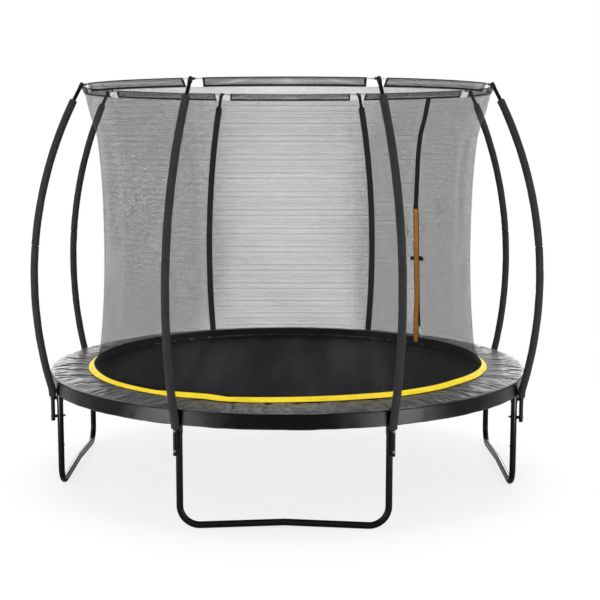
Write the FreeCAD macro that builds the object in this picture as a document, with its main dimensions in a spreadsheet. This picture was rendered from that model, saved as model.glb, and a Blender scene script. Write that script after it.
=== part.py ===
"""Round garden trampoline with a curved-pole safety enclosure.

The frame stands on four U-shaped legs. Eight outward-curved poles are bolted to the legs and hold
a ring of thin rods, from which the enclosure net hangs inside the poles. All sizes are millimetres.
The origin is on the ground under the middle of the mat, and +Z is up.
"""
import FreeCAD, Part

import math
import os

import Sketcher
from FreeCAD import Placement, Rotation, Vector

UP = Vector(0, 0, 1)
ORIGIN = Vector(0, 0, 0)

doc = FreeCAD.newDocument("trampoline")

# Driving dimensions
SIZES = [
    ("frame_radius", 1504, "top rail centre line, seen from above"),
    ("frame_height", 643, "top rail centre above the ground"),
    ("frame_tube", 38, "top rail outside diameter"),
    ("frame_wall", 1.5, "wall of the rails and legs"),
    ("rail_joint_gap", 2, "gap between two rail ends inside a socket"),
    ("socket_wall", 1.8, "wall of the tee sockets"),
    ("socket_fit", 0.2, "clearance of a tube in its socket"),
    ("socket_arm", 60, "half length of a socket along the rail"),
    ("socket_drop", 106, "reach of a socket below the rail's centre"),
    ("leg_tube", 38, "outside diameter of the leg tubes"),
    ("leg_joint", 240, "height where a leg base meets its extension"),
    ("leg_bend", 110, "centre-line radius of the leg's corners"),
    ("leg_arch", 18, "rise of the bar's middle above its corners"),
    ("leg_arch_bend", 400, "radius of the bend in the bar's middle"),
    ("leg_spigot", 60, "reach of a leg base into its extension"),
    ("leg_swage", 6, "length of the step below the spigot"),
    ("leg_fit", 0.3, "clearance of the spigot in the extension"),
    ("leg_screw_rise", 22, "leg screws above the leg joint"),
    ("leg_screw_shank", 4.8, "diameter of the leg screws"),
    ("leg_screw_length", 9, "length of the leg screws"),
    ("leg_screw_head", 10, "diameter of the leg screws' heads"),
    ("leg_screw_head_rise", 2.5, "height of the leg screws' heads"),
    ("pole_tube", 25, "outside diameter of the lower poles"),
    ("pole_wall", 1.3, "wall of the poles"),
    ("pole_standoff", 12.5, "gap between a leg and its pole"),
    ("pole_drop", 219, "reach of the poles below the rail's centre"),
    ("pole_rise", 1816, "upper end of the pole tubes above the rail's centre"),
    ("pole_bend", 250, "radius of the bend where a pole leaves the leg"),
    ("bow_radius", 2400, "radius of the poles' long curve"),
    ("bow_rise", 627, "height above the rail where the poles stand out furthest"),
    ("bow_bulge", 93, "how far they stand out beyond their feet"),
    ("splice_rise", 852, "upper end of the lower poles above the rail's centre"),
    ("splice_length", 60, "reach of an upper pole into a lower one"),
    ("splice_fit", 0.2, "clearance of an upper pole in a lower one"),
    ("foam_diameter", 44, "outside diameter of the foam sleeves"),
    ("foam_fit", 0.3, "clearance between foam and tube"),
    ("foam_drop", 72, "lower end of the foam below the rail's centre"),
    ("foam_bare_tip", 96, "bare height of the pole above the foam"),
    ("foam_seam", 1, "gap between two sleeves"),
    ("bolt_diameter", 8, "pole bolts"),
    ("bolt_high_drop", 83, "upper pole bolts below the rail's centre"),
    ("bolt_pitch", 113, "lower pole bolts below the upper ones"),
    ("bolt_clearance", 0.3, "radial clearance of the bolts in their holes"),
    ("bolt_head", 17, "diameter of the domed bolt heads"),
    ("bolt_head_rise", 4.5, "height of the domed bolt heads"),
    ("bolt_tail", 8, "thread that stands out of a nut"),
    ("nut_width", 13, "across the flats of the nuts"),
    ("nut_height", 7, "thickness of the nuts"),
    ("nut_fit", 0.15, "radial clearance of a nut on its bolt"),
    ("spacer_diameter", 20, "plastic spacers between leg and pole"),
    ("spacer_fit", 0.15, "clearance between a spacer, head or nut and the tubes"),
    ("plug_rim", 3, "rim of the plugs in the poles' lower ends"),
    ("plug_reach", 14, "depth of the plugs in the tubes"),
    ("plug_fit", 0.1, "clearance of the plugs in the tubes"),
    ("rod_inset", 24, "rod ring inside the poles' tips"),
    ("rod_drop", 2, "rod ring below the poles' tips"),
    ("rod_diameter", 8, "rods of the top ring"),
    ("rod_gap", 1.5, "gap between two rod ends inside a cap"),
    ("rod_fit", 0.3, "clearance of a rod in its cap or sleeve"),
    ("cap_skirt", 26, "length of a pole cap over its tube"),
    ("cap_wall", 2.2, "wall of a pole cap"),
    ("cap_dome", 8, "height of a cap above the tube's end"),
    ("cap_fit", 0.15, "clearance of a cap on its tube"),
    ("cap_eye_wall", 3, "wall around a rod in the cap's eye"),
    ("cap_eye_length", 26, "length of the cap's eye along the rod"),
    ("cap_web", 13, "width of the web between a cap and its eye"),
    ("sleeve_wall", 1.2, "cloth of the net's rod sleeves"),
    ("sleeve_drop", 50, "depth of the rod sleeves"),
    ("sleeve_end", 54, "distance from a pole to the end of a sleeve"),
    ("net_thickness", 2.4, "enclosure net"),
    ("net_rise", 71, "lower edge of the net above the rail's centre"),
    ("net_foot_gap", 5, "net's lower edge inside the edge band"),
    ("net_low_inset", 48, "corners of the net inside the rod ring, at the zip's foot"),
    ("net_waist_inset", 88, "the same at the zip's head"),
    ("net_shoulder_inset", 70, "the same at the shoulder"),
    ("net_neck_inset", 57, "the same at the neck"),
    ("net_flare_inset", 28, "the same at the flare"),
    ("net_top_inset", 22, "net's top edge inside the rod ring"),
    ("net_shoulder_drop", 392, "shoulder below the net's top edge"),
    ("net_neck_drop", 252, "neck below the net's top edge"),
    ("net_flare_drop", 122, "flare below the net's top edge"),
    ("hem_drop", 46, "depth of the net's hem"),
    ("hem_thickness", 2, "cloth of the net's hem"),
    ("hem_flare", 9, "how much wider the hem is at its lower edge"),
    ("band_overlap", 20, "edge band on the pad, seen from above"),
    ("band_width", 36, "width of the edge band, seen from above"),
    ("band_rise", 25, "rise of the edge band towards the net"),
    ("band_thickness", 3, "thickness of the edge band"),
    ("mat_gap", 179, "from the mat's edge to the rail's centre"),
    ("mat_thickness", 2, "jumping mat's cloth"),
    ("loop_width", 24, "webbing loops on the mat's edge"),
    ("loop_reach", 20, "how far a loop stands out from the mat"),
    ("loop_thickness", 9, "webbing loops on the mat's edge"),
    ("ring_wire", 4.2, "wire of the mat's rings"),
    ("ring_depth", 30, "from the ring's bar to its point"),
    ("ring_corner", 3.5, "radius of the rings' corners"),
    ("ring_fit", 0.3, "clearance between loop, ring, spring and rail"),
    ("spring_wire", 3.2, "wire of the springs"),
    ("spring_coil", 17, "outside diameter of the springs"),
    ("spring_body", 88, "length of the springs' coils"),
    ("spring_hook", 6, "reach of a spring's hook into the rail"),
    ("pad_overlap", 53, "pad over the mat's edge"),
    ("pad_margin", 1.4, "pad beyond the tee sockets"),
    ("pad_lift", 0.4, "gap between the sockets and the pad"),
    ("pad_side", 14, "thickness of the pad at its edges"),
    ("pad_crown", 8, "rise of the pad's middle above its edges"),
    ("pad_seam", 1, "gap between two pad sections"),
    ("skirt_gap", 0.3, "gap between the pad and its skirt"),
    ("skirt_thickness", 1.2, "cloth of the skirt"),
    ("skirt_drop", 55.5, "lower edge of the skirt below the rail's centre"),
    ("tie_width", 20, "straps that hold the pad to the rail"),
    ("tie_thickness", 1.5, "straps that hold the pad to the rail"),
    ("cloth_gap", 0.3, "gap between two layers of cloth"),
    ("door_angle", 40, "direction of the net's door, degrees from +X"),
    ("zip_rise", 86, "lower end of the zip above the net's lower edge"),
    ("zip_length", 820, "height of the zip"),
    ("tape_width", 14, "zip tape on each side of the chain"),
    ("tape_thickness", 1, "zip tape"),
    ("chain_width", 6, "zip chain"),
    ("chain_thickness", 3.4, "zip chain"),
    ("flap_width", 45, "cover behind the zip"),
    ("flap_thickness", 1.6, "cover behind the zip"),
    ("flap_tail", 110, "cover below the zip"),
    ("flap_hang", 400, "the cover hangs straight below this height over the zip's foot"),
    ("flap_head", 22, "cover above the zip"),
    ("seam_width", 42, "seam strip above the zip"),
    ("slider_length", 20, "zip slider, along the zip"),
    ("slider_width", 14, "zip slider, across the zip"),
    ("slider_height", 5, "thickness of the slider's body"),
    ("slider_start", 30, "slider above the zip's lower end"),
    ("zip_fit", 0.4, "clearance of the slider on the chain"),
    ("bail_pin", 2.4, "pin that carries the pull tab"),
    ("bail_height", 5.5, "ears of the slider above its body"),
    ("bail_ear", 2, "thickness of an ear"),
    ("pull_length", 42, "pull tab"),
    ("pull_width", 9, "pull tab"),
    ("pull_neck", 4.5, "width of the pull tab between the ears"),
    ("pull_thickness", 2.2, "pull tab"),
    ("pull_fit", 0.15, "clearance of the pull tab on its pin"),
    ("buckle_rise", 490, "buckle above the zip's lower end"),
    ("buckle_standoff", 13, "gap between the zip tapes and the buckle"),
    ("buckle_length", 40, "socket half of the buckle"),
    ("buckle_width", 34, "buckle, along the zip"),
    ("buckle_thickness", 10, "buckle"),
    ("buckle_wall", 2, "walls of the buckle's socket"),
    ("buckle_bar", 4, "bars and slots for the webbing"),
    ("prong_length", 24, "prongs of the buckle's plug"),
    ("prong_width", 6, "prongs of the buckle's plug"),
    ("plate_length", 20, "body of the buckle's plug"),
    ("buckle_fit", 0.4, "clearance of the plug in the socket"),
    ("strap_width", 25, "webbing of the buckle"),
    ("strap_thickness", 1.6, "webbing of the buckle"),
    ("strap_run", 16, "webbing between the buckle and the net"),
    ("strap_patch", 12, "sewn end of the webbing"),
]

# Sizes that follow from the driving dimensions
DERIVED = [
    ("socket_bore", "frame_tube / 2 + socket_fit"),
    ("socket_outside", "socket_bore + socket_wall"),
    ("drop_bore", "leg_tube / 2 + leg_fit"),
    ("drop_outside", "drop_bore + socket_wall"),
    ("socket_foot", "frame_height - socket_drop"),
    ("leg_screw_height", "leg_joint + leg_screw_rise"),
    ("pole_radius", "frame_radius + leg_tube / 2 + pole_standoff + pole_tube / 2"),
    ("pole_foot", "frame_height - pole_drop"),
    ("pole_top", "frame_height + pole_rise"),
    ("bow_height", "frame_height + bow_rise"),
    ("bow_centre", "pole_radius + bow_bulge - bow_radius"),
    ("splice_height", "frame_height + splice_rise"),
    ("tip_radius", "pole_tube / 2 - pole_wall - splice_fit"),
    ("foam_foot", "frame_height - foam_drop"),
    ("foam_head", "pole_top - foam_bare_tip"),
    ("bolt_high", "frame_height - bolt_high_drop"),
    ("bolt_low", "bolt_high - bolt_pitch"),
    ("rod_height", "pole_top - rod_drop"),
    ("pole_tip", "bow_centre + sqrt(bow_radius ^ 2 - (pole_top - bow_height) ^ 2)"),
    ("rod_ring_radius", "pole_tip - rod_inset"),
    ("sleeve_outside", "rod_diameter / 2 + rod_fit + sleeve_wall"),
    ("net_top", "rod_height + sleeve_outside - sleeve_drop"),
    ("net_foot", "frame_height + net_rise"),
    ("zip_foot", "net_foot + zip_rise"),
    ("zip_head", "zip_foot + zip_length"),
    ("mat_radius", "frame_radius - mat_gap"),
    ("pad_base", "frame_height + socket_outside + pad_lift"),
    ("pad_inner_radius", "mat_radius - pad_overlap"),
    ("pad_outer_radius", "frame_radius + drop_outside + pad_margin"),
    ("skirt_inner_radius", "pad_outer_radius + skirt_gap"),
    ("skirt_foot", "frame_height - skirt_drop"),
    ("band_outer_radius", "pad_inner_radius + band_overlap"),
    ("band_inner_radius", "band_outer_radius - band_width"),
    ("net_foot_radius", "band_inner_radius - net_foot_gap"),
    ("ring_bar_radius", "mat_radius + ring_fit + loop_reach / 2"),
    ("ring_half", "loop_width / 2 + 3 * ring_corner"),
]

# Numbers of like pieces
POSTS = 8
SIDES = 4
SPRINGS_PER_RAIL = 7
TIES_PER_RAIL = 2
NET_FACETS = 6

# Roundness of the net from 0 (straight panels) to 1 (round), between the foot and the top edge
LOW_ROUND = 0.5
WAIST_ROUND = 0.4
SHOULDER_ROUND = 0.4
NECK_ROUND = 0.5
FLARE_ROUND = 0.7

sheet = doc.addObject("Spreadsheet::Sheet", "Dimensions")
rows = [(alias, str(number), meaning) for alias, number, meaning in SIZES]
rows += [(alias, "=" + words, "") for alias, words in DERIVED]
for row, (alias, content, meaning) in enumerate(rows, start=1):
    sheet.set("A%d" % row, alias)
    sheet.setAlias("B%d" % row, alias)
    sheet.set("B%d" % row, content)
    sheet.set("C%d" % row, meaning)
doc.recompute()
ALIASES = {alias for alias, content, meaning in rows}


def size(alias):
    """Value of one driving dimension."""
    return float(sheet.get(alias))


def value(expression):
    """Number that an expression on the driving dimensions gives now."""
    return float(sheet.evalExpression(expression))


def bound(words):
    """Expression text in which each driving dimension is read from the sheet."""
    pieces = []
    for word in words.replace("(", " ( ").replace(")", " ) ").split():
        pieces.append("Dimensions." + word if word in ALIASES else word)
    return " ".join(pieces)


# Helpers for document objects
def solid(kind, name, **expressions):
    """Part primitive whose properties follow expressions, as in Radius="frame_tube / 2"."""
    primitive = doc.addObject("Part::" + kind, name)
    for prop, words in expressions.items():
        primitive.setExpression(prop, bound(words))
    return primitive


def place(primitive, turn=None, **expressions):
    """Turns a primitive, and binds the x, y and z of its base to expressions."""
    if turn is not None:
        primitive.Placement = Placement(ORIGIN, turn)
    for axis, words in expressions.items():
        primitive.setExpression("Placement.Base." + axis, bound(words))
    return primitive


def fused(name, *pieces):
    fusion = doc.addObject("Part::MultiFuse", name)
    fusion.Shapes = list(pieces)
    return fusion


def without(name, base, *tools):
    """Cuts the tools out of the base."""
    cut = doc.addObject("Part::Cut", name)
    cut.Base = base
    cut.Tool = tools[0] if len(tools) == 1 else fused(name + "_tools", *tools)
    return cut


def turned(angle):
    return Placement(ORIGIN, Rotation(UP, angle))


def copies(shape, angles):
    """Copies of a shape around the vertical axis, as one compound."""
    made = []
    for angle in angles:
        copy = shape.copy()
        copy.Placement = turned(angle).multiply(copy.Placement)
        made.append(copy)
    return Part.makeCompound(made)


def plain(name, shape, placement=None):
    """Document object that holds a shape worked out by this script."""
    feature = doc.addObject("Part::Feature", name)
    feature.Shape = shape
    if placement is not None:
        feature.Placement = placement
    return feature


kept = {}


def keep(label, feature):
    """Names a finished sub-part. Its label names its file."""
    feature.Label = label
    kept[label] = feature
    return feature


def keep_group(label, shape, angles):
    return keep(label, plain(label, copies(shape, angles)))


def keep_each(label, shape, angles):
    for number, angle in enumerate(angles, start=1):
        name = "%s_%d" % (label, number)
        keep(name, plain(name, shape, turned(angle)))


# Helpers for PartDesign bodies
def plane(body, role):
    return [feature for feature in body.Origin.OriginFeatures if feature.Role == role][0]


def sketch_on(body, name, role, turn=0):
    """Sketch on one of the body's own planes, turned about the vertical axis if asked."""
    sketch = body.newObject("Sketcher::SketchObject", name)
    sketch.AttachmentSupport = [(plane(body, role), "")]
    sketch.MapMode = "FlatFace"
    if turn:
        sketch.AttachmentOffset = Placement(ORIGIN, Rotation(Vector(0, 1, 0), turn))
    return sketch


def hold_point(sketch, geometry, end, x, y):
    """Ties a point of a sketch to the sketch's origin by two bound distances."""
    for kind, axis, words in (("DistanceX", -2, x), ("DistanceY", -1, y)):
        words = bound(words)
        if abs(value(words)) < 1e-9:
            sketch.addConstraint(Sketcher.Constraint("PointOnObject", geometry, end, axis))
            continue
        number = sketch.addConstraint(
            Sketcher.Constraint(kind, -1, 1, geometry, end, value(words)))
        sketch.setExpression("Constraints[%d]" % number, words)


def draw_circle(sketch, x, y, radius):
    centre = Vector(value(bound(x)), value(bound(y)), 0)
    geometry = sketch.addGeometry(Part.Circle(centre, UP, value(bound(radius))), False)
    hold_point(sketch, geometry, 3, x, y)
    number = sketch.addConstraint(Sketcher.Constraint("Radius", geometry, value(bound(radius))))
    sketch.setExpression("Constraints[%d]" % number, bound(radius))


def draw_outline(sketch, corners):
    """Closed outline of straight lines through corners given as pairs of expressions."""
    points = [Vector(value(bound(x)), value(bound(y)), 0) for x, y in corners]
    first = sketch.GeometryCount
    for here, there in zip(points, points[1:] + points[:1]):
        sketch.addGeometry(Part.LineSegment(here, there), False)
    for step in range(len(points)):
        following = first + (step + 1) % len(points)
        sketch.addConstraint(Sketcher.Constraint("Coincident", first + step, 2, following, 1))
    for step, (x, y) in enumerate(corners):
        hold_point(sketch, first + step, 1, x, y)


def new_body(name):
    return doc.addObject("PartDesign::Body", name)


def revolve_about_axis(body, sketch, name, angle=360):
    feature = body.newObject("PartDesign::Revolution", name)
    feature.Profile = sketch
    feature.ReferenceAxis = (sketch, ["V_Axis"])
    feature.Angle = angle
    return feature


# Helpers for swept tubes and thin cloth
def swept(edges, radius):
    """Round bar along straight runs and arcs."""
    start = edges[0]
    point = start.valueAt(start.FirstParameter)
    along = start.tangentAt(start.FirstParameter)
    profile = Part.Wire(Part.makeCircle(radius, point, along))
    return Part.Wire(edges).makePipeShell([profile], True, False)


def tube(edges, outer_radius, inner_radius):
    return swept(edges, outer_radius).cut(swept(edges, inner_radius))


def rod_between(start, end, radius):
    along = end - start
    return Part.makeCylinder(radius, along.Length, start, along)


def line(start, end):
    return Part.LineSegment(start, end).toShape()


def arc(start, middle, end):
    return Part.Arc(start, middle, end).toShape()


def around_axis(face, start, sweep):
    """Revolves a face of the X-Z plane about the vertical axis."""
    solid_shape = face.revolve(ORIGIN, UP, sweep)
    solid_shape.rotate(ORIGIN, UP, start)
    return solid_shape


def section(points):
    """Face in the X-Z plane through straight corners given as radius and height."""
    corners = [Vector(radius, 0, height) for radius, height in points]
    return Part.Face(Part.makePolygon(corners + corners[:1]))


def patchwork(front, back):
    """Closed solid between two grids of points, in flat triangles."""
    rows, columns = len(front), len(front[0])
    triangles = []

    def add(*corners):
        distinct = []
        for corner in corners:
            if all((corner - other).Length > 1e-6 for other in distinct):
                distinct.append(corner)
        if len(distinct) == 3:
            triangles.append(Part.Face(Part.makePolygon(distinct + distinct[:1])))

    def quad(one, two, three, four):
        add(one, two, three)
        add(one, three, four)

    for row in range(rows - 1):
        for column in range(columns - 1):
            for grid in (front, back):
                quad(grid[row][column], grid[row][column + 1],
                     grid[row + 1][column + 1], grid[row + 1][column])
    for row in range(rows - 1):
        for column in (0, columns - 1):
            quad(front[row][column], front[row + 1][column],
                 back[row + 1][column], back[row][column])
    for column in range(columns - 1):
        for row in (0, rows - 1):
            quad(front[row][column], front[row][column + 1],
                 back[row][column + 1], back[row][column])
    shell = Part.makeShell(triangles)
    made = Part.makeSolid(shell)
    if made.Volume < 0:
        made.reverse()
    return made


STEP_ANGLE = 360.0 / POSTS
POST_ANGLES = [STEP_ANGLE * (number + 0.5) - 90 - STEP_ANGLE for number in range(POSTS)]
PANEL_ANGLES = [angle + STEP_ANGLE / 2 for angle in POST_ANGLES]
SIDE_NAMES = ["front", "right", "rear", "left"]
SIDE_ANGLES = [-90 + 360.0 / SIDES * number for number in range(SIDES)]


# Top rail: eight bent tubes with holes for the springs' hooks
def build_rails():
    spring_step = STEP_ANGLE / SPRINGS_PER_RAIL
    joint_angle = math.degrees(size("rail_joint_gap") / size("frame_radius"))
    start = joint_angle / 2 - spring_step / 2
    body = new_body("rail")
    profile = sketch_on(body, "rail_profile", "XZ_Plane", start)
    draw_circle(profile, "frame_radius", "frame_height", "frame_tube / 2")
    draw_circle(profile, "frame_radius", "frame_height", "frame_tube / 2 - frame_wall")
    revolve_about_axis(body, profile, "rail_tube", STEP_ANGLE - joint_angle)
    doc.recompute()
    plain_volume = body.Shape.Volume
    hole = sketch_on(body, "hook_hole", "YZ_Plane")
    draw_circle(hole, "0", "frame_height", "spring_wire / 2 + ring_fit")
    pocket = body.newObject("PartDesign::Pocket", "hook_hole_cut")
    pocket.Profile = hole
    pocket.setExpression("Length", bound("frame_radius"))
    pocket.Reversed = True
    doc.recompute()
    pattern = body.newObject("PartDesign::PolarPattern", "hook_holes")
    pattern.Originals = [pocket]
    pattern.Axis = (plane(body, "Z_Axis"), [""])
    pattern.Angle = spring_step * (SPRINGS_PER_RAIL - 1)
    pattern.Occurrences = SPRINGS_PER_RAIL
    body.Tip = pattern
    doc.recompute()
    if not body.Shape.Volume < plain_volume:
        raise RuntimeError("the hook holes cut nothing")
    angles = [angle + spring_step / 2 for angle in POST_ANGLES]
    keep_each("frame_rail", body.Shape, angles)


SPRING_ANGLES = []
for post_angle in POST_ANGLES:
    for number in range(SPRINGS_PER_RAIL):
        SPRING_ANGLES.append(post_angle + STEP_ANGLE / SPRINGS_PER_RAIL * (number + 0.5))


# Tee sockets: a sleeve around the rail ends and a drop tube for the leg
def build_sockets():
    outer, bore = "socket_outside", "socket_bore"
    half_angle = math.degrees(size("socket_arm") / size("frame_radius"))
    arm = solid("Torus", "socket_arm_outside", Radius1="frame_radius", Radius2=outer)
    arm.Angle3 = 2 * half_angle
    place(arm, Rotation(UP, -half_angle), z="frame_height")
    drop = place(solid("Cylinder", "socket_drop_outside", Radius="drop_outside",
                       Height="frame_height - socket_foot"), x="frame_radius", z="socket_foot")
    arm_bore = solid("Torus", "socket_arm_bore", Radius1="frame_radius", Radius2=bore)
    arm_bore.Angle3 = 4 * half_angle
    place(arm_bore, Rotation(UP, -2 * half_angle), z="frame_height")
    drop_bore = place(solid("Cylinder", "socket_drop_bore", Radius="drop_bore",
                            Height="frame_height - socket_foot + frame_wall"),
                      x="frame_radius", z="socket_foot - frame_wall")
    bolt_hole = radial_hole("socket_bolt_hole", "bolt_high", "bolt_diameter / 2 + bolt_clearance")
    tee = without("socket", fused("socket_outside", arm, drop), arm_bore, drop_bore, bolt_hole)
    doc.recompute()
    keep_group("tee_sockets", tee.Shape, POST_ANGLES)


def radial_hole(name, height, radius):
    """Cylinder through a post, along the line from the axis to the post."""
    hole = solid("Cylinder", name, Radius=radius, Height="4 * frame_tube")
    return place(hole, Rotation(Vector(0, 1, 0), 90), x="frame_radius - 2 * frame_tube", z=height)


# Leg extensions: straight tubes from the sockets down to the leg bases
def build_leg_extensions():
    top = "frame_height - frame_tube / 2 - socket_wall"
    outside = place(solid("Cylinder", "extension_outside", Radius="leg_tube / 2",
                          Height=top + " - leg_joint"), x="frame_radius", z="leg_joint")
    bore = place(solid("Cylinder", "extension_bore", Radius="leg_tube / 2 - frame_wall",
                       Height=top + " - leg_joint + 2 * frame_wall"),
                 x="frame_radius", z="leg_joint - frame_wall")
    bolt_radius = "bolt_diameter / 2 + bolt_clearance"
    high = radial_hole("extension_high_hole", "bolt_high", bolt_radius)
    low = radial_hole("extension_low_hole", "bolt_low", bolt_radius)
    screw = inner_screw_hole("extension_screw_hole")
    extension = without("extension", outside, bore, high, low, screw)
    doc.recompute()
    keep_group("leg_extensions", extension.Shape, POST_ANGLES)


def inner_screw_hole(name):
    """Hole in the side of a leg that faces the middle of the trampoline."""
    hole = solid("Cylinder", name, Radius="leg_screw_shank / 2 + leg_fit", Height="leg_tube / 2")
    return place(hole, Rotation(Vector(0, 1, 0), -90), x="frame_radius", z="leg_screw_height")


# Leg bases: one bent tube across each side, with swaged spigots at both ends
def build_leg_bases():
    half_step = math.radians(STEP_ANGLE / 2)
    plane_x = size("frame_radius") * math.cos(half_step)
    reach = size("frame_radius") * math.sin(half_step)
    radius = size("leg_tube") / 2
    bend = size("leg_bend")
    slope = math.atan2(size("leg_arch"), reach - bend)

    def at(across, height):
        return Vector(plane_x, across, height)

    centre_height = bend + radius
    corner_turn = (math.pi / 2 + slope) / 2
    corner_end = (-reach + bend + bend * math.sin(slope), centre_height - bend * math.cos(slope))
    corner_middle = (-reach + bend - bend * math.cos(corner_turn),
                     centre_height - bend * math.sin(corner_turn))
    peak = corner_end[1] - corner_end[0] * math.tan(slope)
    run_in = size("leg_arch_bend") * math.tan(slope)
    arch_start = (-run_in * math.cos(slope), peak - run_in * math.sin(slope))
    arch_sag = size("leg_arch_bend") * (1 / math.cos(slope) - 1)
    edges = [
        line(at(-reach, size("leg_joint")), at(-reach, centre_height)),
        arc(at(-reach, centre_height), at(*corner_middle), at(*corner_end)),
        line(at(*corner_end), at(*arch_start)),
        arc(at(*arch_start), at(0, peak - arch_sag), at(-arch_start[0], arch_start[1])),
        line(at(-arch_start[0], arch_start[1]), at(-corner_end[0], corner_end[1])),
        arc(at(-corner_end[0], corner_end[1]), at(-corner_middle[0], corner_middle[1]),
            at(reach, centre_height)),
        line(at(reach, centre_height), at(reach, size("leg_joint"))),
    ]
    wall = size("frame_wall")
    base = tube(edges, radius, radius - wall)
    spigot_outer = radius - wall - size("leg_fit")
    spigot_inner = spigot_outer - wall
    hole_radius = (size("leg_screw_shank") / 2) + size("leg_fit")
    for end in (-1, 1):
        foot = at(end * reach, size("leg_joint") - size("leg_swage"))
        joint = at(end * reach, size("leg_joint"))
        tip = at(end * reach, size("leg_joint") + size("leg_spigot"))
        step = rod_between(foot, joint, radius).cut(rod_between(foot, joint, spigot_inner))
        spigot = rod_between(foot, tip, spigot_outer).cut(rod_between(foot, tip, spigot_inner))
        base = base.fuse([step, spigot])
        screw = at(end * reach, size("leg_screw_height"))
        inwards = Vector(-plane_x, -end * reach, 0).normalize()
        base = base.cut(rod_between(screw, screw + inwards * radius, hole_radius))
    base = base.removeSplitter()
    for name, angle in zip(SIDE_NAMES, SIDE_ANGLES):
        keep("leg_base_" + name, plain("leg_base_" + name, base, turned(angle)))


def build_leg_screws():
    """Pan-head screws on the inner side of each leg, above its joint."""
    head = solid("Cylinder", "screw_head", Radius="leg_screw_head / 2",
                 Height="leg_screw_head_rise")
    place(head, Rotation(Vector(0, 1, 0), -90),
          x="frame_radius - leg_tube / 2 - leg_fit", z="leg_screw_height")
    shank = solid("Cylinder", "screw_shank", Radius="leg_screw_shank / 2",
                  Height="leg_screw_length")
    place(shank, Rotation(Vector(0, 1, 0), -90), z="leg_screw_height",
          x="frame_radius - leg_tube / 2 - leg_fit - leg_screw_head_rise / 2 + leg_screw_length")
    screw = fused("screw", head, shank)
    doc.recompute()
    keep_group("leg_screws", screw.Shape, POST_ANGLES)


# Poles
def bow_point(height):
    """Point of the poles' long curve at a height."""
    rise = height - size("bow_height")
    return Vector(size("bow_centre") + math.sqrt(size("bow_radius") ** 2 - rise ** 2), 0, height)


def bow_angle(height):
    """Slope of the long curve at a height, in degrees; positive leans inwards."""
    return math.degrees(math.asin((height - size("bow_height")) / size("bow_radius")))


def foot_bend():
    """Height of the start of a pole's foot bend, and the angle that it turns through."""
    bend_x = size("pole_radius") + size("pole_bend")
    reach = size("bow_radius") + size("pole_bend")
    start = size("bow_height") - math.sqrt(reach ** 2 - (bend_x - size("bow_centre")) ** 2)
    turn = math.atan2(size("bow_height") - start, bend_x - size("bow_centre"))
    return start, turn


def pole_path(low, high):
    """Centre line of a pole between two heights: a straight foot, a bend and the long curve."""
    radius = size("pole_bend")
    bend_start, bend_turn = foot_bend()

    def on_bend(angle):
        return Vector(size("pole_radius") + radius * (1 - math.cos(angle)), 0,
                      bend_start + radius * math.sin(angle))

    edges = []
    bend_end = on_bend(bend_turn)
    start = bow_point(low)
    if low < bend_end.z:
        entry = 0.0
        if low < bend_start:
            edges.append(line(Vector(size("pole_radius"), 0, low), on_bend(0)))
        else:
            entry = math.asin((low - bend_start) / radius)
        edges.append(arc(on_bend(entry), on_bend((entry + bend_turn) / 2), bend_end))
        start = bend_end
    edges.append(arc(start, bow_point((start.z + high) / 2), bow_point(high)))
    return edges


def build_poles():
    outer, wall = size("pole_tube") / 2, size("pole_wall")
    lower = tube(pole_path(size("pole_foot"), size("splice_height")), outer, outer - wall)
    hole_radius = size("bolt_diameter") / 2 + size("bolt_clearance")
    for height in (size("bolt_low"), size("bolt_high")):
        start = Vector(size("pole_radius") - 2 * outer, 0, height)
        lower = lower.cut(rod_between(start, start + Vector(4 * outer, 0, 0), hole_radius))
    keep_each("pole_lower", lower, POST_ANGLES)
    tip = size("tip_radius")
    start = size("splice_height") - size("splice_length")
    upper = tube(pole_path(start, size("pole_top")), tip, tip - wall)
    keep_each("pole_upper", upper, POST_ANGLES)


def build_foam():
    """Foam sleeves: a lower one, flattened against the skirt, and an upper one above the splice."""
    outer = size("foam_diameter") / 2
    seam = size("splice_height")
    lower_bore = size("pole_tube") / 2 + size("foam_fit")
    upper_bore = size("tip_radius") + size("foam_fit")
    lower = tube(pole_path(size("foam_foot"), seam - size("foam_seam") / 2), outer, lower_bore)
    skirt = size("skirt_inner_radius") + size("skirt_thickness") + size("cloth_gap")
    lower = lower.cut(Part.makeCylinder(skirt, size("splice_height")))
    upper = tube(pole_path(seam + size("foam_seam") / 2, size("foam_head")), outer, upper_bore)
    keep_group("foam_sleeves_lower", lower, POST_ANGLES)
    keep_group("foam_sleeves_upper", upper, POST_ANGLES)


def build_pole_plugs():
    """Plastic plugs in the poles' lower ends."""
    rim = place(solid("Cylinder", "plug_rim_disc", Radius="pole_tube / 2", Height="plug_rim"),
                z="pole_foot - plug_rim")
    stem = place(solid("Cylinder", "plug_stem", Radius="pole_tube / 2 - pole_wall - plug_fit",
                       Height="plug_reach"), z="pole_foot")
    for piece in (rim, stem):
        place(piece, x="pole_radius")
    plug = fused("plug", rim, stem)
    doc.recompute()
    keep_group("pole_foot_plugs", plug.Shape, POST_ANGLES)


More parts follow.
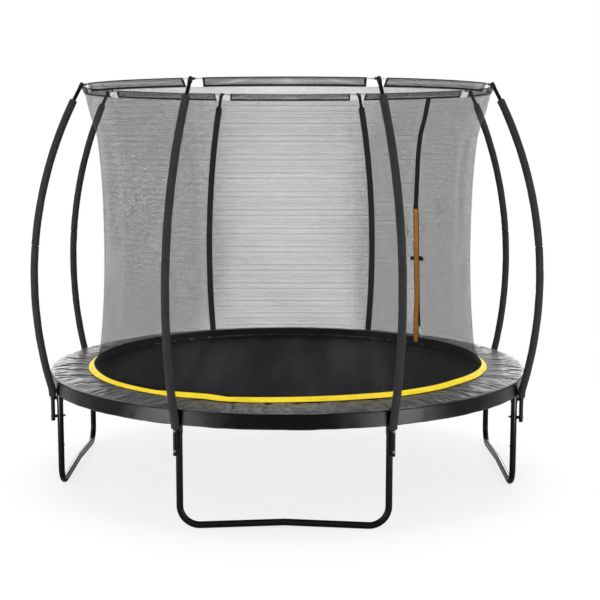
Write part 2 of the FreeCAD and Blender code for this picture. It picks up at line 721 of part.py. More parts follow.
# Bolts through pole, spacer and leg
def build_bolts():
    pole_outside = size("pole_radius") + size("pole_tube") / 2
    bolt_radius = size("bolt_diameter") / 2
    spacers, bolts, nuts = [], [], []
    for height in (size("bolt_low"), size("bolt_high")):
        through_socket = height > size("socket_foot")
        leg_radius = size("leg_tube") / 2
        if through_socket:
            leg_radius = size("drop_outside")
        start = Vector(size("frame_radius"), 0, height)
        end = Vector(size("pole_radius"), 0, height)
        spacer = rod_between(start, end, size("spacer_diameter") / 2)
        spacer = spacer.cut(rod_between(start, end, bolt_radius + size("bolt_clearance")))
        low = height - size("spacer_diameter")
        tall = 2 * size("spacer_diameter")
        leg = Part.makeCylinder(leg_radius + size("spacer_fit"), tall, Vector(start.x, 0, low))
        pole = Part.makeCylinder(size("pole_tube") / 2 + size("spacer_fit"), tall,
                                 Vector(end.x, 0, low))
        spacers.append(spacer.cut([leg, pole]))
        nut_face = size("frame_radius") - leg_radius - size("spacer_fit")
        nut_back = nut_face - size("nut_height")
        tip = nut_back - size("bolt_tail")
        head_seat = pole_outside + size("spacer_fit")
        shank = rod_between(Vector(tip, 0, height), Vector(head_seat, 0, height), bolt_radius)
        bolts.append(shank.fuse(domed_head(head_seat, height)).removeSplitter())
        nuts.append(hex_nut(nut_back, height, bolt_radius))
    keep_group("pole_spacers", Part.makeCompound(spacers), POST_ANGLES)
    keep_group("pole_bolts", Part.makeCompound(bolts), POST_ANGLES)
    keep_group("pole_nuts", Part.makeCompound(nuts), POST_ANGLES)


def domed_head(seat, height):
    """Mushroom head, as a slice of a ball."""
    rise = size("bolt_head_rise")
    half = size("bolt_head") / 2
    ball_radius = (half ** 2 + rise ** 2) / (2 * rise)
    ball = Part.makeSphere(ball_radius, Vector(seat + rise - ball_radius, 0, height))
    slab = Part.makeCylinder(half, rise, Vector(seat, 0, height), Vector(1, 0, 0))
    return ball.common(slab)


def hex_nut(back, height, bolt_radius):
    corner = size("nut_width") / math.sqrt(3)
    corners = []
    for number in range(6):
        angle = math.radians(60 * number)
        corners.append(Vector(back, corner * math.cos(angle), height + corner * math.sin(angle)))
    face = Part.Face(Part.makePolygon(corners + corners[:1]))
    nut = face.extrude(Vector(size("nut_height"), 0, 0))
    bore = bolt_radius + size("nut_fit")
    return nut.cut(Part.makeCylinder(bore, size("nut_height") * 3,
                                     Vector(back - size("nut_height"), 0, height), Vector(1, 0, 0)))


# Top ring
def build_caps():
    """Caps on the poles' tips, each with an eye that holds two rod ends."""
    body = new_body("cap")
    profile = sketch_on(body, "cap_profile", "XZ_Plane")
    bore = "tip_radius + cap_fit"
    outside = bore + " + cap_wall"
    draw_outline(profile, [
        (bore, "0 - cap_skirt"),
        (outside, "0 - cap_skirt"),
        (outside, "0"),
        (outside + " - cap_wall", "cap_dome * 0.7"),
        (bore + " - cap_wall * 2", "cap_dome"),
        ("0", "cap_dome"),
        ("0", "cap_fit"),
        (bore, "cap_fit"),
    ])
    revolve_about_axis(body, profile, "cap_turned")
    doc.recompute()
    tip = bow_point(size("pole_top"))
    tilt = Rotation(Vector(0, 1, 0), -bow_angle(size("pole_top")))
    shape = body.Shape.copy()
    shape.Placement = Placement(tip, tilt)
    half = size("cap_eye_length") / 2
    eye_radius = size("rod_diameter") / 2 + size("rod_fit") + size("cap_eye_wall")
    ring, height = size("rod_ring_radius"), size("rod_height")
    eye = rod_between(Vector(ring, -half, height), Vector(ring, half, height), eye_radius)
    axis_x = bow_point(height - size("cap_skirt") / 2).x
    web = Part.makeBox(axis_x - ring, size("cap_web"), eye_radius,
                       Vector(ring, -size("cap_web") / 2, height - eye_radius))
    inside = Part.makeCylinder(size("tip_radius") + size("cap_fit"), size("cap_skirt") * 3,
                               Vector(0, 0, -size("cap_skirt") * 3 + size("cap_fit")))
    inside.Placement = Placement(tip, tilt).multiply(inside.Placement)
    cap = shape.fuse([eye, web]).cut([inside, rod_arc(STEP_ANGLE, size("rod_fit"))])
    keep_group("pole_caps", cap.removeSplitter(), POST_ANGLES)


def rod_arc(sweep, extra=0.0):
    """Part of the rod ring, centred on +X, with some clearance added to its radius."""
    centre = Vector(size("rod_ring_radius"), 0, size("rod_height"))
    circle = Part.makeCircle(size("rod_diameter") / 2 + extra, centre, Vector(0, 1, 0))
    return around_axis(Part.Face(Part.Wire(circle)), -sweep / 2, sweep)


def build_rods():
    gap = math.degrees(size("rod_gap") / size("rod_ring_radius"))
    keep_group("top_rods", rod_arc(STEP_ANGLE - gap), PANEL_ANGLES)


def build_rod_sleeves():
    """Cloth sleeves around the rods, from pole to pole, drawn inwards by the net."""
    wall, fit = size("sleeve_wall"), size("rod_fit")
    bore = size("rod_diameter") / 2 + fit
    ring, height = size("rod_ring_radius"), size("rod_height")
    outer = size("sleeve_outside")
    foot = size("net_top")
    centre = Vector(ring, 0, height)
    down = Vector(-size("net_top_inset"), 0, foot - height).normalize()
    aside = Vector(-down.z, 0, down.x)
    top = centre - down * outer
    side_in = centre - aside * outer
    side_out = centre + aside * outer
    toe = wall + size("net_thickness") / 2
    foot_in = Vector(ring - size("net_top_inset") - toe, 0, foot)
    foot_out = Vector(ring - size("net_top_inset") + toe, 0, foot)
    outline = Part.Wire([arc(side_in, top, side_out), line(side_out, foot_out),
                         line(foot_out, foot_in), line(foot_in, side_in)])
    sweep = STEP_ANGLE - 2 * math.degrees(size("sleeve_end") / ring)
    sleeve = around_axis(Part.Face(outline), -sweep / 2, sweep)
    sleeve = sleeve.cut(rod_arc(STEP_ANGLE, fit))
    keep_group("net_rod_sleeves", sleeve, PANEL_ANGLES)


# Enclosure net
def net_levels():
    """Net outline from its foot to its top edge: height, corner radius and roundness."""
    ring, top = size("rod_ring_radius"), size("net_top")
    return [
        (size("net_foot"), size("net_foot_radius"), 1.0),
        (size("zip_foot"), ring - size("net_low_inset"), LOW_ROUND),
        (size("zip_head"), ring - size("net_waist_inset"), WAIST_ROUND),
        (top - size("net_shoulder_drop"), ring - size("net_shoulder_inset"), SHOULDER_ROUND),
        (top - size("net_neck_drop"), ring - size("net_neck_inset"), NECK_ROUND),
        (top - size("net_flare_drop"), ring - size("net_flare_inset"), FLARE_ROUND),
        (top, ring - size("net_top_inset"), 1.0),
    ]


def net_radius(level, offset):
    """Radius of the net at an angle from the middle of its panel, in degrees."""
    height, corner, roundness = level
    straight = math.cos(math.radians(STEP_ANGLE / 2)) / math.cos(math.radians(offset))
    return corner * ((1 - roundness) * straight + roundness)


def net_sheet(offsets, panel_angle):
    """Piece of net through the given angles from the middle of its panel."""
    half = size("net_thickness") / 2
    grids = []
    for side in (half, -half):
        grid = []
        for level in net_levels():
            row = []
            for offset in offsets:
                radius = net_radius(level, offset) + side
                angle = math.radians(panel_angle + offset)
                row.append(Vector(radius * math.cos(angle), radius * math.sin(angle), level[0]))
            grid.append(row)
        grids.append(grid)
    return patchwork(*grids)


def door_offset():
    """Angle of the door from the middle of its panel."""
    nearest = min(PANEL_ANGLES, key=lambda angle: abs(angle - size("door_angle")))
    return size("door_angle") - nearest


def evenly(start, end, steps):
    return [start + (end - start) * number / steps for number in range(steps + 1)]


def slot_angle():
    """Half the angle of the slot that the zip's chain runs in."""
    narrowest = min(net_radius(level, door_offset()) for level in net_levels())
    half_width = size("chain_width") / 2 + 2 * size("cloth_gap")
    return math.degrees(math.asin(half_width / narrowest))


def build_net():
    half = STEP_ANGLE / 2
    offset = door_offset()
    slot = slot_angle()
    sheets = []
    for panel_angle in PANEL_ANGLES:
        if abs(panel_angle + offset - size("door_angle")) < 1e-6:
            sheets.append(net_sheet(evenly(-half, offset - slot, NET_FACETS // 2), panel_angle))
            sheets.append(net_sheet(evenly(offset + slot, half, NET_FACETS // 2 + 1), panel_angle))
        else:
            sheets.append(net_sheet(evenly(-half, half, NET_FACETS), panel_angle))
    keep("enclosure_net", plain("enclosure_net", Part.makeCompound(sheets)))


def build_hem():
    """Cloth hem that runs down from the net, just inside the edge band."""
    half = size("hem_thickness") / 2
    top, foot = size("net_foot"), size("net_foot") - size("hem_drop")
    radius = size("net_foot_radius")
    wide = radius + size("hem_flare")
    face = section([(radius - half, top), (radius + half, top), (wide + half, foot),
                    (wide - half, foot)])
    keep("net_hem", plain("net_hem", around_axis(face, 0, 360)))


def build_band():
    """Coloured band around the inner edge of the pad, sloping up to the net."""
    outer = size("band_outer_radius")
    inner = size("band_inner_radius")
    low = pad_top(outer) + size("cloth_gap")
    thick = size("band_thickness")
    rise = size("band_rise")
    face = section([(outer, low), (outer, low + thick), (inner, low + rise + thick),
                    (inner, low + rise)])
    keep("edge_band", plain("edge_band", around_axis(face, 0, 360)))


# Jumping mat
def build_mat():
    body = new_body("mat")
    profile = sketch_on(body, "mat_profile", "XZ_Plane")
    low, high = "frame_height - mat_thickness / 2", "frame_height + mat_thickness / 2"
    draw_outline(profile, [("0", low), ("mat_radius", low), ("mat_radius", high), ("0", high)])
    revolve_about_axis(body, profile, "mat_disc")
    keep("jumping_mat", body)


def build_loops():
    """Webbing loops on the mat's edge, each with a channel for its ring's bar."""
    loop = solid("Box", "loop_block", Length="loop_reach", Width="loop_width",
                 Height="loop_thickness")
    place(loop, x="mat_radius + ring_fit / 2", y="0 - loop_width / 2",
          z="frame_height - loop_thickness / 2")
    channel = solid("Cylinder", "loop_channel", Radius="ring_wire / 2 + ring_fit",
                    Height="2 * loop_width")
    place(channel, Rotation(Vector(1, 0, 0), 90), x="mat_radius + ring_fit + loop_reach / 2",
          y="loop_width", z="frame_height")
    round_edge = solid("Cylinder", "loop_inner_edge", Radius="mat_radius + ring_fit",
                       Height="2 * loop_thickness")
    place(round_edge, z="frame_height - loop_thickness")
    webbing = without("loop", loop, channel, round_edge)
    doc.recompute()
    keep_group("mat_loops", webbing.Shape, SPRING_ANGLES)


def build_rings():
    """Triangular wire rings that join the mat's loops to the springs."""
    edges = rounded_loop(ring_corners(), size("ring_corner"))
    keep_group("mat_rings", swept(edges, size("ring_wire") / 2), SPRING_ANGLES)


def ring_corners():
    """Corners of a ring's centre line before they are rounded."""
    bar, height = size("ring_bar_radius"), size("frame_height")
    half = size("ring_half")
    tip = bar + size("ring_depth")
    return [Vector(bar, -half, height), Vector(bar, half, height), Vector(tip, 0, height)]


def ring_tip():
    """Radius that a ring's rounded point reaches."""
    left, right, point = ring_corners()
    half_turn = math.atan2((right - left).Length / 2, point.x - left.x)
    cut_back = size("ring_corner") / math.sin(half_turn) - size("ring_corner")
    return point.x - cut_back + size("ring_wire") / 2


def rounded_loop(corners, radius):
    """Closed path of straight runs joined by tangent arcs."""
    edges = []
    count = len(corners)
    ends = []
    for number, corner in enumerate(corners):
        back = (corners[number - 1] - corner).normalize()
        ahead = (corners[(number + 1) % count] - corner).normalize()
        half_turn = math.acos(max(-1.0, min(1.0, back.dot(ahead)))) / 2
        trim = radius / math.tan(half_turn)
        bisector = (back + ahead).normalize()
        middle = corner + bisector * (radius / math.sin(half_turn) - radius)
        ends.append((corner + back * trim, middle, corner + ahead * trim))
    for number in range(count):
        edges.append(line(ends[number - 1][2], ends[number][0]))
        edges.append(arc(*ends[number]))
    return edges


def build_springs():
    """Extension springs between the rings and the rail."""
    start = ring_tip() + size("ring_fit")
    rail = size("frame_radius") - size("frame_tube") / 2
    end = rail + size("spring_hook")
    middle = (start + rail) / 2
    height = size("frame_height")
    wire = size("spring_wire") / 2
    body_half = size("spring_body") / 2
    spring = rod_between(Vector(start, 0, height), Vector(end, 0, height), wire)
    coil = rod_between(Vector(middle - body_half, 0, height),
                       Vector(middle + body_half, 0, height), size("spring_coil") / 2)
    keep_group("springs", spring.fuse(coil).removeSplitter(), SPRING_ANGLES)


# Safety pad
def pad_arc_height(radius):
    """Height of the pad's crowned top above its side edges."""
    inner = size("pad_inner_radius") + size("pad_side") / 2
    outer = size("pad_outer_radius") - size("pad_side") / 2
    crown = size("pad_crown")
    half = (outer - inner) / 2
    ball = (half ** 2 + crown ** 2) / (2 * crown)
    away = radius - (inner + outer) / 2
    return math.sqrt(ball ** 2 - away ** 2) - (ball - crown)


def pad_top(radius):
    return size("pad_base") + size("pad_side") + pad_arc_height(radius)


def build_pad():
    """Padded sections, crowned on top and rounded along both edges."""
    side = size("pad_side")
    base = size("pad_base")
    inner, outer = size("pad_inner_radius"), size("pad_outer_radius")
    shoulder_in, shoulder_out = inner + side / 2, outer - side / 2
    middle = (shoulder_in + shoulder_out) / 2
    top = base + side
    edges = [
        line(Vector(shoulder_in, 0, base), Vector(shoulder_out, 0, base)),
        arc(Vector(shoulder_out, 0, base), Vector(outer, 0, base + side / 2),
            Vector(shoulder_out, 0, top)),
        arc(Vector(shoulder_out, 0, top), Vector(middle, 0, top + size("pad_crown")),
            Vector(shoulder_in, 0, top)),
        arc(Vector(shoulder_in, 0, top), Vector(inner, 0, base + side / 2),
            Vector(shoulder_in, 0, base)),
    ]
    gap = math.degrees(size("pad_seam") / outer)
    sweep = STEP_ANGLE - gap
    pad = around_axis(Part.Face(Part.Wire(edges)), -sweep / 2, sweep)
    keep_group("safety_pad", pad, PANEL_ANGLES)


def build_skirt():
    """Cloth that hangs from the pad's outer edge and hides the rail."""
    inner = size("skirt_inner_radius")
    outer = inner + size("skirt_thickness")
    top = size("pad_base") + size("pad_side") / 2
    foot = size("skirt_foot")
    gap = math.degrees(size("pad_seam") / inner)
    sweep = STEP_ANGLE - gap
    face = section([(inner, foot), (outer, foot), (outer, top), (inner, top)])
    keep_group("pad_skirt", around_axis(face, -sweep / 2, sweep), PANEL_ANGLES)


def build_ties():
    """Straps around the rail that hold the pad down."""
    inner = size("frame_tube") / 2 + size("cloth_gap")
    outer = inner + size("tie_thickness")
    half = size("tie_width") / 2
    start = Vector(size("frame_radius"), -half, size("frame_height"))
    end = Vector(size("frame_radius"), half, size("frame_height"))
    strap = rod_between(start, end, outer)
    tab = Part.makeBox(size("tie_thickness") * 3, size("tie_width"),
                       size("pad_base") - size("cloth_gap") - size("frame_height"),
                       Vector(size("frame_radius") - size("tie_thickness") * 1.5, -half,
                              size("frame_height")))
    strap = strap.fuse(tab).cut(rail_envelope(inner))
    angles = []
    for post_angle in POST_ANGLES:
        for number in range(TIES_PER_RAIL):
            step = round(SPRINGS_PER_RAIL * (number + 1) / (TIES_PER_RAIL + 1))
            angles.append(post_angle + STEP_ANGLE / SPRINGS_PER_RAIL * step)
    keep_group("pad_ties", strap.removeSplitter(), angles)


def rail_envelope(radius):
    """Bent bar along the rail, around +X."""
    circle = Part.makeCircle(radius, Vector(size("frame_radius"), 0, size("frame_height")),
                             Vector(0, 1, 0))
    return around_axis(Part.Face(Part.Wire(circle)), -STEP_ANGLE / 4, STEP_ANGLE / 2)


# Door: directions across the zip and out from the net, and points on it
def door_frame():
    """Unit vectors out from the net and across the zip, both level."""
    turn = math.radians(size("door_angle"))
    level = net_levels()[1]
    tiny = 0.01
    offset = door_offset()
    change = (net_radius(level, offset + tiny) - net_radius(level, offset - tiny))
    lean = math.atan2(change, 2 * math.radians(tiny) * net_radius(level, offset))
    out = Vector(math.cos(turn - lean), math.sin(turn - lean), 0)
    return out, Vector(-out.y, out.x, 0)


def net_point(height, offset):
    """Middle of the net's cloth, at an angle from the middle of the panel with the door."""
    levels = net_levels()
    for below, above in zip(levels, levels[1:]):
        if height <= above[0]:
            break
    part = (height - below[0]) / (above[0] - below[0])
    radius = net_radius(below, offset) * (1 - part) + net_radius(above, offset) * part
    turn = math.radians(size("door_angle") - door_offset() + offset)
    return Vector(radius * math.cos(turn), radius * math.sin(turn), height)


def door_line(height):
    """Middle of the net's cloth on the zip's line."""
    return net_point(height, door_offset())


def beside_door(way, height):
    """Ends of the net's first flat facet on one side of the door's slot."""
    offset, slot = door_offset(), slot_angle()
    steps = NET_FACETS // 2 + 1 if way > 0 else NET_FACETS // 2
    facet = (STEP_ANGLE / 2 - way * offset - slot) / steps
    return [net_point(height, offset + way * slot),
            net_point(height, offset + way * (slot + facet))]


def net_setback(reach, heights):
    """How far the net's cloth lies behind the door's plane, within a reach of the zip's line."""
    out, side = door_frame()
    depths = []
    for height in heights:
        middle = door_line(height)
        for way in (-1, 1):
            near, far = [point - middle for point in beside_door(way, height)]
            slope = (far - near).dot(out) / (far - near).dot(side)
            depths.append(near.dot(out) + slope * (way * reach - near.dot(side)))
    return -min(depths)


def cover_line(height):
    """Line of the door's cover, which hangs straight down in its lower part."""
    point = door_line(max(height, size("zip_foot") + size("flap_hang")))
    return Vector(point.x, point.y, height)


def door_strip(heights, across, outwards, line_at=door_line):
    """Strip of cloth along the door, between two edges and two depths."""
    out, side = door_frame()
    grids = []
    for depth in outwards:
        grids.append([[line_at(height) + side * edge + out * depth for edge in across]
                      for height in heights])
    return patchwork(*grids)


def build_door_cloth():
    surface = size("net_thickness") / 2
    gap = size("cloth_gap")
    foot, head = size("zip_foot"), size("zip_head")
    chain = size("chain_width") / 2
    tape_in = surface + gap
    tape_out = tape_in + size("tape_thickness")
    tapes = [door_strip((foot, head), across, (tape_out, tape_in))
             for across in ((chain + gap, chain + gap + size("tape_width")),
                            (-chain - gap - size("tape_width"), -chain - gap))]
    keep("zip_tapes", plain("zip_tapes", Part.makeCompound(tapes)))
    chain_in = tape_out - size("chain_thickness")
    links = door_strip((foot, head), (-chain, chain), (tape_out + gap, chain_in))
    keep("zip_chain", plain("zip_chain", links))
    flap_half = size("flap_width") / 2
    on_net = (foot + size("flap_hang"), head, head + size("flap_head"))
    flap_out = -surface - gap - net_setback(flap_half, on_net)
    flap = door_strip((foot - size("flap_tail"),) + on_net, (-flap_half, flap_half),
                      (flap_out, flap_out - size("flap_thickness")), cover_line)
    keep("zip_flap", plain("zip_flap", flap))
    seam_half = size("seam_width") / 2
    above_zip = [level[0] for level in net_levels() if level[0] > head + gap]
    seam = door_strip([head + gap] + above_zip, (-seam_half, seam_half), (tape_out, tape_in))
    keep("door_seam", plain("door_seam", seam))


def zip_placement(height):
    """Frame on the tapes' surface at a height: X across, Y along the zip, Z outwards."""
    out, side = door_frame()
    foot, head = door_line(size("zip_foot")), door_line(size("zip_head"))
    along = (head - foot).normalize()
    outwards = side.cross(along).normalize()
    origin = door_line(height) + out * (size("net_thickness") / 2 + size("cloth_gap")
                                        + size("tape_thickness"))
    return Placement(origin, Rotation(side, along, outwards, "ZXY"))


def build_slider():
    """Zip slider that straddles the chain, with two ears and a pin for the pull tab."""
    length, width = size("slider_length"), size("slider_width")
    fit = size("zip_fit")
    lift = size("cloth_gap")
    block = Part.makeBox(width, length, size("slider_height"), Vector(-width / 2, 0, lift))
    channel = Part.makeBox(size("chain_width") + 2 * fit, length * 2, size("cloth_gap") + fit,
                           Vector(-size("chain_width") / 2 - fit, -length / 2, 0))
    top = lift + size("slider_height")
    ear, rise = size("bail_ear"), size("bail_height")
    inner = size("pull_neck") / 2 + size("pull_fit") * 2
    ears = [Part.makeBox(ear, length * 0.35, rise, Vector(edge, length * 0.5, top))
            for edge in (inner, -inner - ear)]
    pin_height = top + rise - size("bail_pin") * 0.75
    pin_y = length * 0.675
    pin = rod_between(Vector(-inner - ear, pin_y, pin_height), Vector(inner + ear, pin_y, pin_height),
                      size("bail_pin") / 2)
    slider = block.cut(channel).fuse(ears + [pin]).removeSplitter()
    start = zip_placement(size("zip_foot") + size("slider_start"))
    keep("zip_slider", plain("zip_slider", slider, start))
    neck = size("pull_neck") / 2
    eye_radius = size("bail_pin") / 2 + size("pull_fit") + 1.0
    eye = rod_between(Vector(-neck, pin_y, pin_height), Vector(neck, pin_y, pin_height), eye_radius)
    shank_top = pin_height + size("pull_thickness") / 2
    shank = Part.makeBox(2 * neck, size("pull_length") * 0.3, size("pull_thickness"),
                         Vector(-neck, pin_y - size("pull_length") * 0.3,
                                shank_top - size("pull_thickness")))
    blade = Part.makeBox(size("pull_width"), size("pull_length") * 0.7, size("pull_thickness"),
                         Vector(-size("pull_width") / 2, pin_y - size("pull_length"),
                                shank_top - size("pull_thickness")))
    bore = rod_between(Vector(-width, pin_y, pin_height), Vector(width, pin_y, pin_height),
                       size("bail_pin") / 2 + size("pull_fit"))
    pull = eye.fuse([shank, blade]).cut(bore).removeSplitter()
    keep("zip_pull", plain("zip_pull", pull, start))


# Buckle across the zip
def buckle_block(low_x, high_x, width, low_z, high_z):
    """Block across the zip, centred on the buckle's middle line."""
    return Part.makeBox(high_x - low_x, width, high_z - low_z, Vector(low_x, -width / 2, low_z))


def buckle_ends():
    """Left end, mouth and right end of the closed buckle, centred on the zip."""
    bar = size("buckle_bar")
    total = 2 * bar + size("buckle_length") + size("buckle_fit") + size("plate_length")
    left = -total / 2
    return left, left + 2 * bar + size("buckle_length"), total / 2


def build_buckle():
    left, mouth, right = buckle_ends()
    width, wall, fit, bar = [size(alias) for alias in
                             ("buckle_width", "buckle_wall", "buckle_fit", "buckle_bar")]
    low = size("buckle_standoff")
    high = low + size("buckle_thickness")
    place_here = zip_placement(size("zip_foot") + size("buckle_rise"))
    slot_width = size("strap_width") + 2 * fit
    inside_low, inside_high = low + wall, high - wall

    def slot(start):
        return buckle_block(start, start + bar, slot_width, low - bar, high + bar)

    shell = buckle_block(left, mouth, width, low, high)
    hollow = buckle_block(left + 3 * bar, mouth + wall, width - 2 * wall, inside_low, inside_high)
    window_middle = (left + 3 * bar + mouth) / 2
    window = buckle_block(window_middle - 1.5 * bar, window_middle + 1.5 * bar, 2 * width,
                          inside_low, inside_high)
    female = shell.cut([hollow, window, slot(left + bar / 2)]).removeSplitter()
    keep("buckle_socket", plain("buckle_socket", female, place_here))
    plate = buckle_block(mouth + fit, right, width, low, high).cut(slot(right - 1.5 * bar))
    prong = buckle_block(mouth + fit - size("prong_length"), mouth + fit, size("prong_width"),
                         inside_low + fit, inside_high - fit)
    aside = (width - size("prong_width")) / 2 - wall - fit
    prongs = [prong.translated(Vector(0, way * aside, 0)) for way in (-1, 0, 1)]
    male = plate.fuse(prongs).removeSplitter()
    keep("buckle_plug", plain("buckle_plug", male, place_here))
    keep("socket_strap", plain("socket_strap", strap_shape(left - fit, -1), place_here))
    keep("plug_strap", plain("plug_strap", strap_shape(right + fit, 1), place_here))


def strap_shape(start, way):
    """Webbing from an end of the buckle down to its sewn patch on the net."""
    high = size("buckle_standoff") + size("buckle_thickness") / 2
    thick, half = size("strap_thickness"), size("strap_width") / 2
    back = zip_placement(size("zip_foot") + size("buckle_rise")).inverse()
    height = size("zip_foot") + size("buckle_rise")
    near, far = [back.multVec(point) for point in beside_door(way, height)]
    slope = (far.z - near.z) / (far.x - near.x)

    def surface(x):
        return near.z + slope * (x - near.x) + size("net_thickness") / 2 + size("cloth_gap")

    bend, end = start + way * size("strap_run"), start + way * (size("strap_run")
                                                                + size("strap_patch"))
    outline = [(start, high), (bend, surface(bend)), (end, surface(end)),
               (end, surface(end) + thick), (bend + way * thick / 2, surface(bend) + thick),
               (start, high + thick)]
    corners = [Vector(x, -half, z) for x, z in outline]
    face = Part.Face(Part.makePolygon(corners + corners[:1]))
    return face.extrude(Vector(0, 2 * half, 0))


def build_all():
    build_rails()
    build_sockets()
    build_leg_extensions()
    build_leg_bases()
    build_leg_screws()
    build_poles()
    build_foam()
    build_pole_plugs()
    build_bolts()
    build_caps()
    build_rods()
    build_rod_sleeves()
    build_net()
    build_hem()
    build_band()
    build_mat()
    build_loops()
    build_rings()
    build_springs()
    build_pad()
    build_skirt()
    build_ties()
    build_door_cloth()
    build_slider()
    build_buckle()


def check_document():
    """Stops before anything is written if an object failed or a shape isn't whole."""
    doc.recompute()
    for feature in doc.Objects:
        if "Invalid" in feature.State or "Error" in feature.State:
            raise RuntimeError("%s failed: %s" % (feature.Label, feature.State))
    for label, feature in kept.items():
        shape = feature.Shape
        if shape.isNull() or not shape.isValid() or not shape.Solids:
            raise RuntimeError("%s has no valid solid" % label)


build_all()
check_document()
os.makedirs("parts", exist_ok=True)
for label, feature in kept.items():
    feature.Shape.exportStep(os.path.join("parts", label + ".step"))
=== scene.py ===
"""Trampoline with a bow-pole enclosure: cloth, foam, springs and finishes on the packed frame."""

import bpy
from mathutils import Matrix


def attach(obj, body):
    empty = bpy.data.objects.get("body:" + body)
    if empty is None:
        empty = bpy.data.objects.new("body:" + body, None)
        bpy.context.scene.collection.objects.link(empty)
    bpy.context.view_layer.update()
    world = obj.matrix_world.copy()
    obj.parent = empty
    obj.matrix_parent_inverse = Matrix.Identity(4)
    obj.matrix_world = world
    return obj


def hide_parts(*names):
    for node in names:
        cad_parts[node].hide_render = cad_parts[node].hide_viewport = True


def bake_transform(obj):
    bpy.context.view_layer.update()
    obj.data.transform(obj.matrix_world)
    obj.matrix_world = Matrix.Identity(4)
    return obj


bl_info = {
    "name": "Trampoline",
    "version": (1, 0, 0),
    "blender": (4, 5, 0),
    "location": "3D View > Sidebar > Trampoline",
    "description": "Dresses the trampoline's frame with its cloth, foam, springs and finishes",
    "category": "Object",
}

from itertools import product

import bpy
import numpy as np
from bpy.props import FloatProperty, FloatVectorProperty, IntProperty, PointerProperty
from mathutils import Vector

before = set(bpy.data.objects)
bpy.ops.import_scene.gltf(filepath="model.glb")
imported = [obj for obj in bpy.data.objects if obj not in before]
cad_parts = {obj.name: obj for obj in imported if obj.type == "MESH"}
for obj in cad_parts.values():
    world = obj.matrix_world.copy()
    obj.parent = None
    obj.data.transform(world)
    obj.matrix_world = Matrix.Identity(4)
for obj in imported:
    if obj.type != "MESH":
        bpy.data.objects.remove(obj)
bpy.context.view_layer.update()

POSTS = 8
STEP = 2 * np.pi / POSTS
POST_ANGLES = [STEP * (number + 0.5) - np.pi / 2 - STEP for number in range(POSTS)]
PANEL_ANGLES = [angle + STEP / 2 for angle in POST_ANGLES]
SPRINGS_PER_RAIL = 7
SPRING_ANGLES = [post + STEP / SPRINGS_PER_RAIL * (number + 0.5)
                 for post in POST_ANGLES for number in range(SPRINGS_PER_RAIL)]
TIE_ANGLES = [post + STEP / SPRINGS_PER_RAIL * step for post in POST_ANGLES for step in (2, 5)]
DOOR_PANEL = PANEL_ANGLES[3]
DOOR_OFFSET = np.radians(-5.0)
DOOR_ANGLE = DOOR_PANEL + DOOR_OFFSET

# Height of the zip's slider at rest
SLIDER_START = 0.84
# Centre line and tube of the rail, and the clearance of what hooks or loops round a wire
RAIL_RING = 1.504
RAIL_TUBE = 0.038
PLAY = 0.0004

# Net outline: height, corner radius and roundness
NET_LEVELS = np.array([
    (0.7140, 1.2510, 1.0),
    (0.8000, 1.2538, 0.5),
    (1.6200, 1.2138, 0.4),
    (2.0205, 1.2318, 0.4),
    (2.1605, 1.2448, 0.5),
    (2.2905, 1.2738, 0.7),
    (2.4125, 1.2798, 1.0),
])


def tone(red, green, blue):
    """Colour from its usual 0 to 255 values."""
    shares = [part / 255 for part in (red, green, blue)]
    return tuple(part / 12.92 if part <= 0.04045 else ((part + 0.055) / 1.055) ** 2.4
                 for part in shares)


def length(name, description, default):
    """Size in metres."""
    return FloatProperty(name=name, description=description, default=default, min=0.0,
                         precision=4, unit="LENGTH")


def paint(name, description, default):
    """Colour of a finish."""
    return FloatVectorProperty(name=name, description=description, default=default, size=3,
                               min=0.0, max=1.0, subtype="COLOR")


# Sizes and colours
class PoleSizes(bpy.types.PropertyGroup):
    """Centre line of the poles and the foam sleeves on them"""

    foot_radius: length("Foot radius", "Distance of a pole's foot from the middle", 1.548)
    foot_bend: length("Foot bend", "Radius of the bend where a pole leaves its leg", 0.25)
    bow_radius: length("Bow radius", "Radius of a pole's long curve", 2.4)
    bow_reach: length("Bow reach", "Distance of the curve's outermost point", 1.641)
    bow_height: length("Bow height", "Height of the curve's outermost point", 1.27)
    splice: length("Splice height", "Height where the two sleeves meet", 1.495)
    foam_foot: length("Foam foot", "Lower end of the foam", 0.571)
    foam_head: length("Foam head", "Upper end of the foam", 2.363)
    foam_diameter: length("Foam diameter", "Outside diameter of the sleeves", 0.044)
    crease: length("Crease depth", "Depth of the creases in the sleeves' cover", 0.0012)
    skirt_face: length("Skirt face", "Distance of the skirt that the foam rests on", 1.5286)


class NetSizes(bpy.types.PropertyGroup):
    """Threads and cloth of the enclosure net"""

    thickness: length("Thickness", "Thickness of the net's knitted cloth", 0.00025)
    pitch: length("Thread pitch", "Distance between two fine threads", 0.0008)
    thread: length("Thread width", "Width of an upright thread", 0.000165)
    weft: length("Cross thread width", "Width of a level thread", 0.00003)
    course: length("Course pitch", "Distance between two heavy threads", 0.034)
    heavy: length("Heavy thread width", "Width of a heavy thread", 0.0008)
    rod_ring: length("Rod ring radius", "Radius of the ring of rods", 1.3018)
    rod_height: length("Rod height", "Height of the ring of rods", 2.457)
    sleeve_gap: length("Sleeve gap", "Distance from a pole to the end of a rod sleeve", 0.054)
    sleeve_slant: length("Sleeve slant", "How much shorter a rod sleeve is at its top", 0.008)
    hem_drop: length("Hem depth", "Depth of the hem below the net", 0.046)


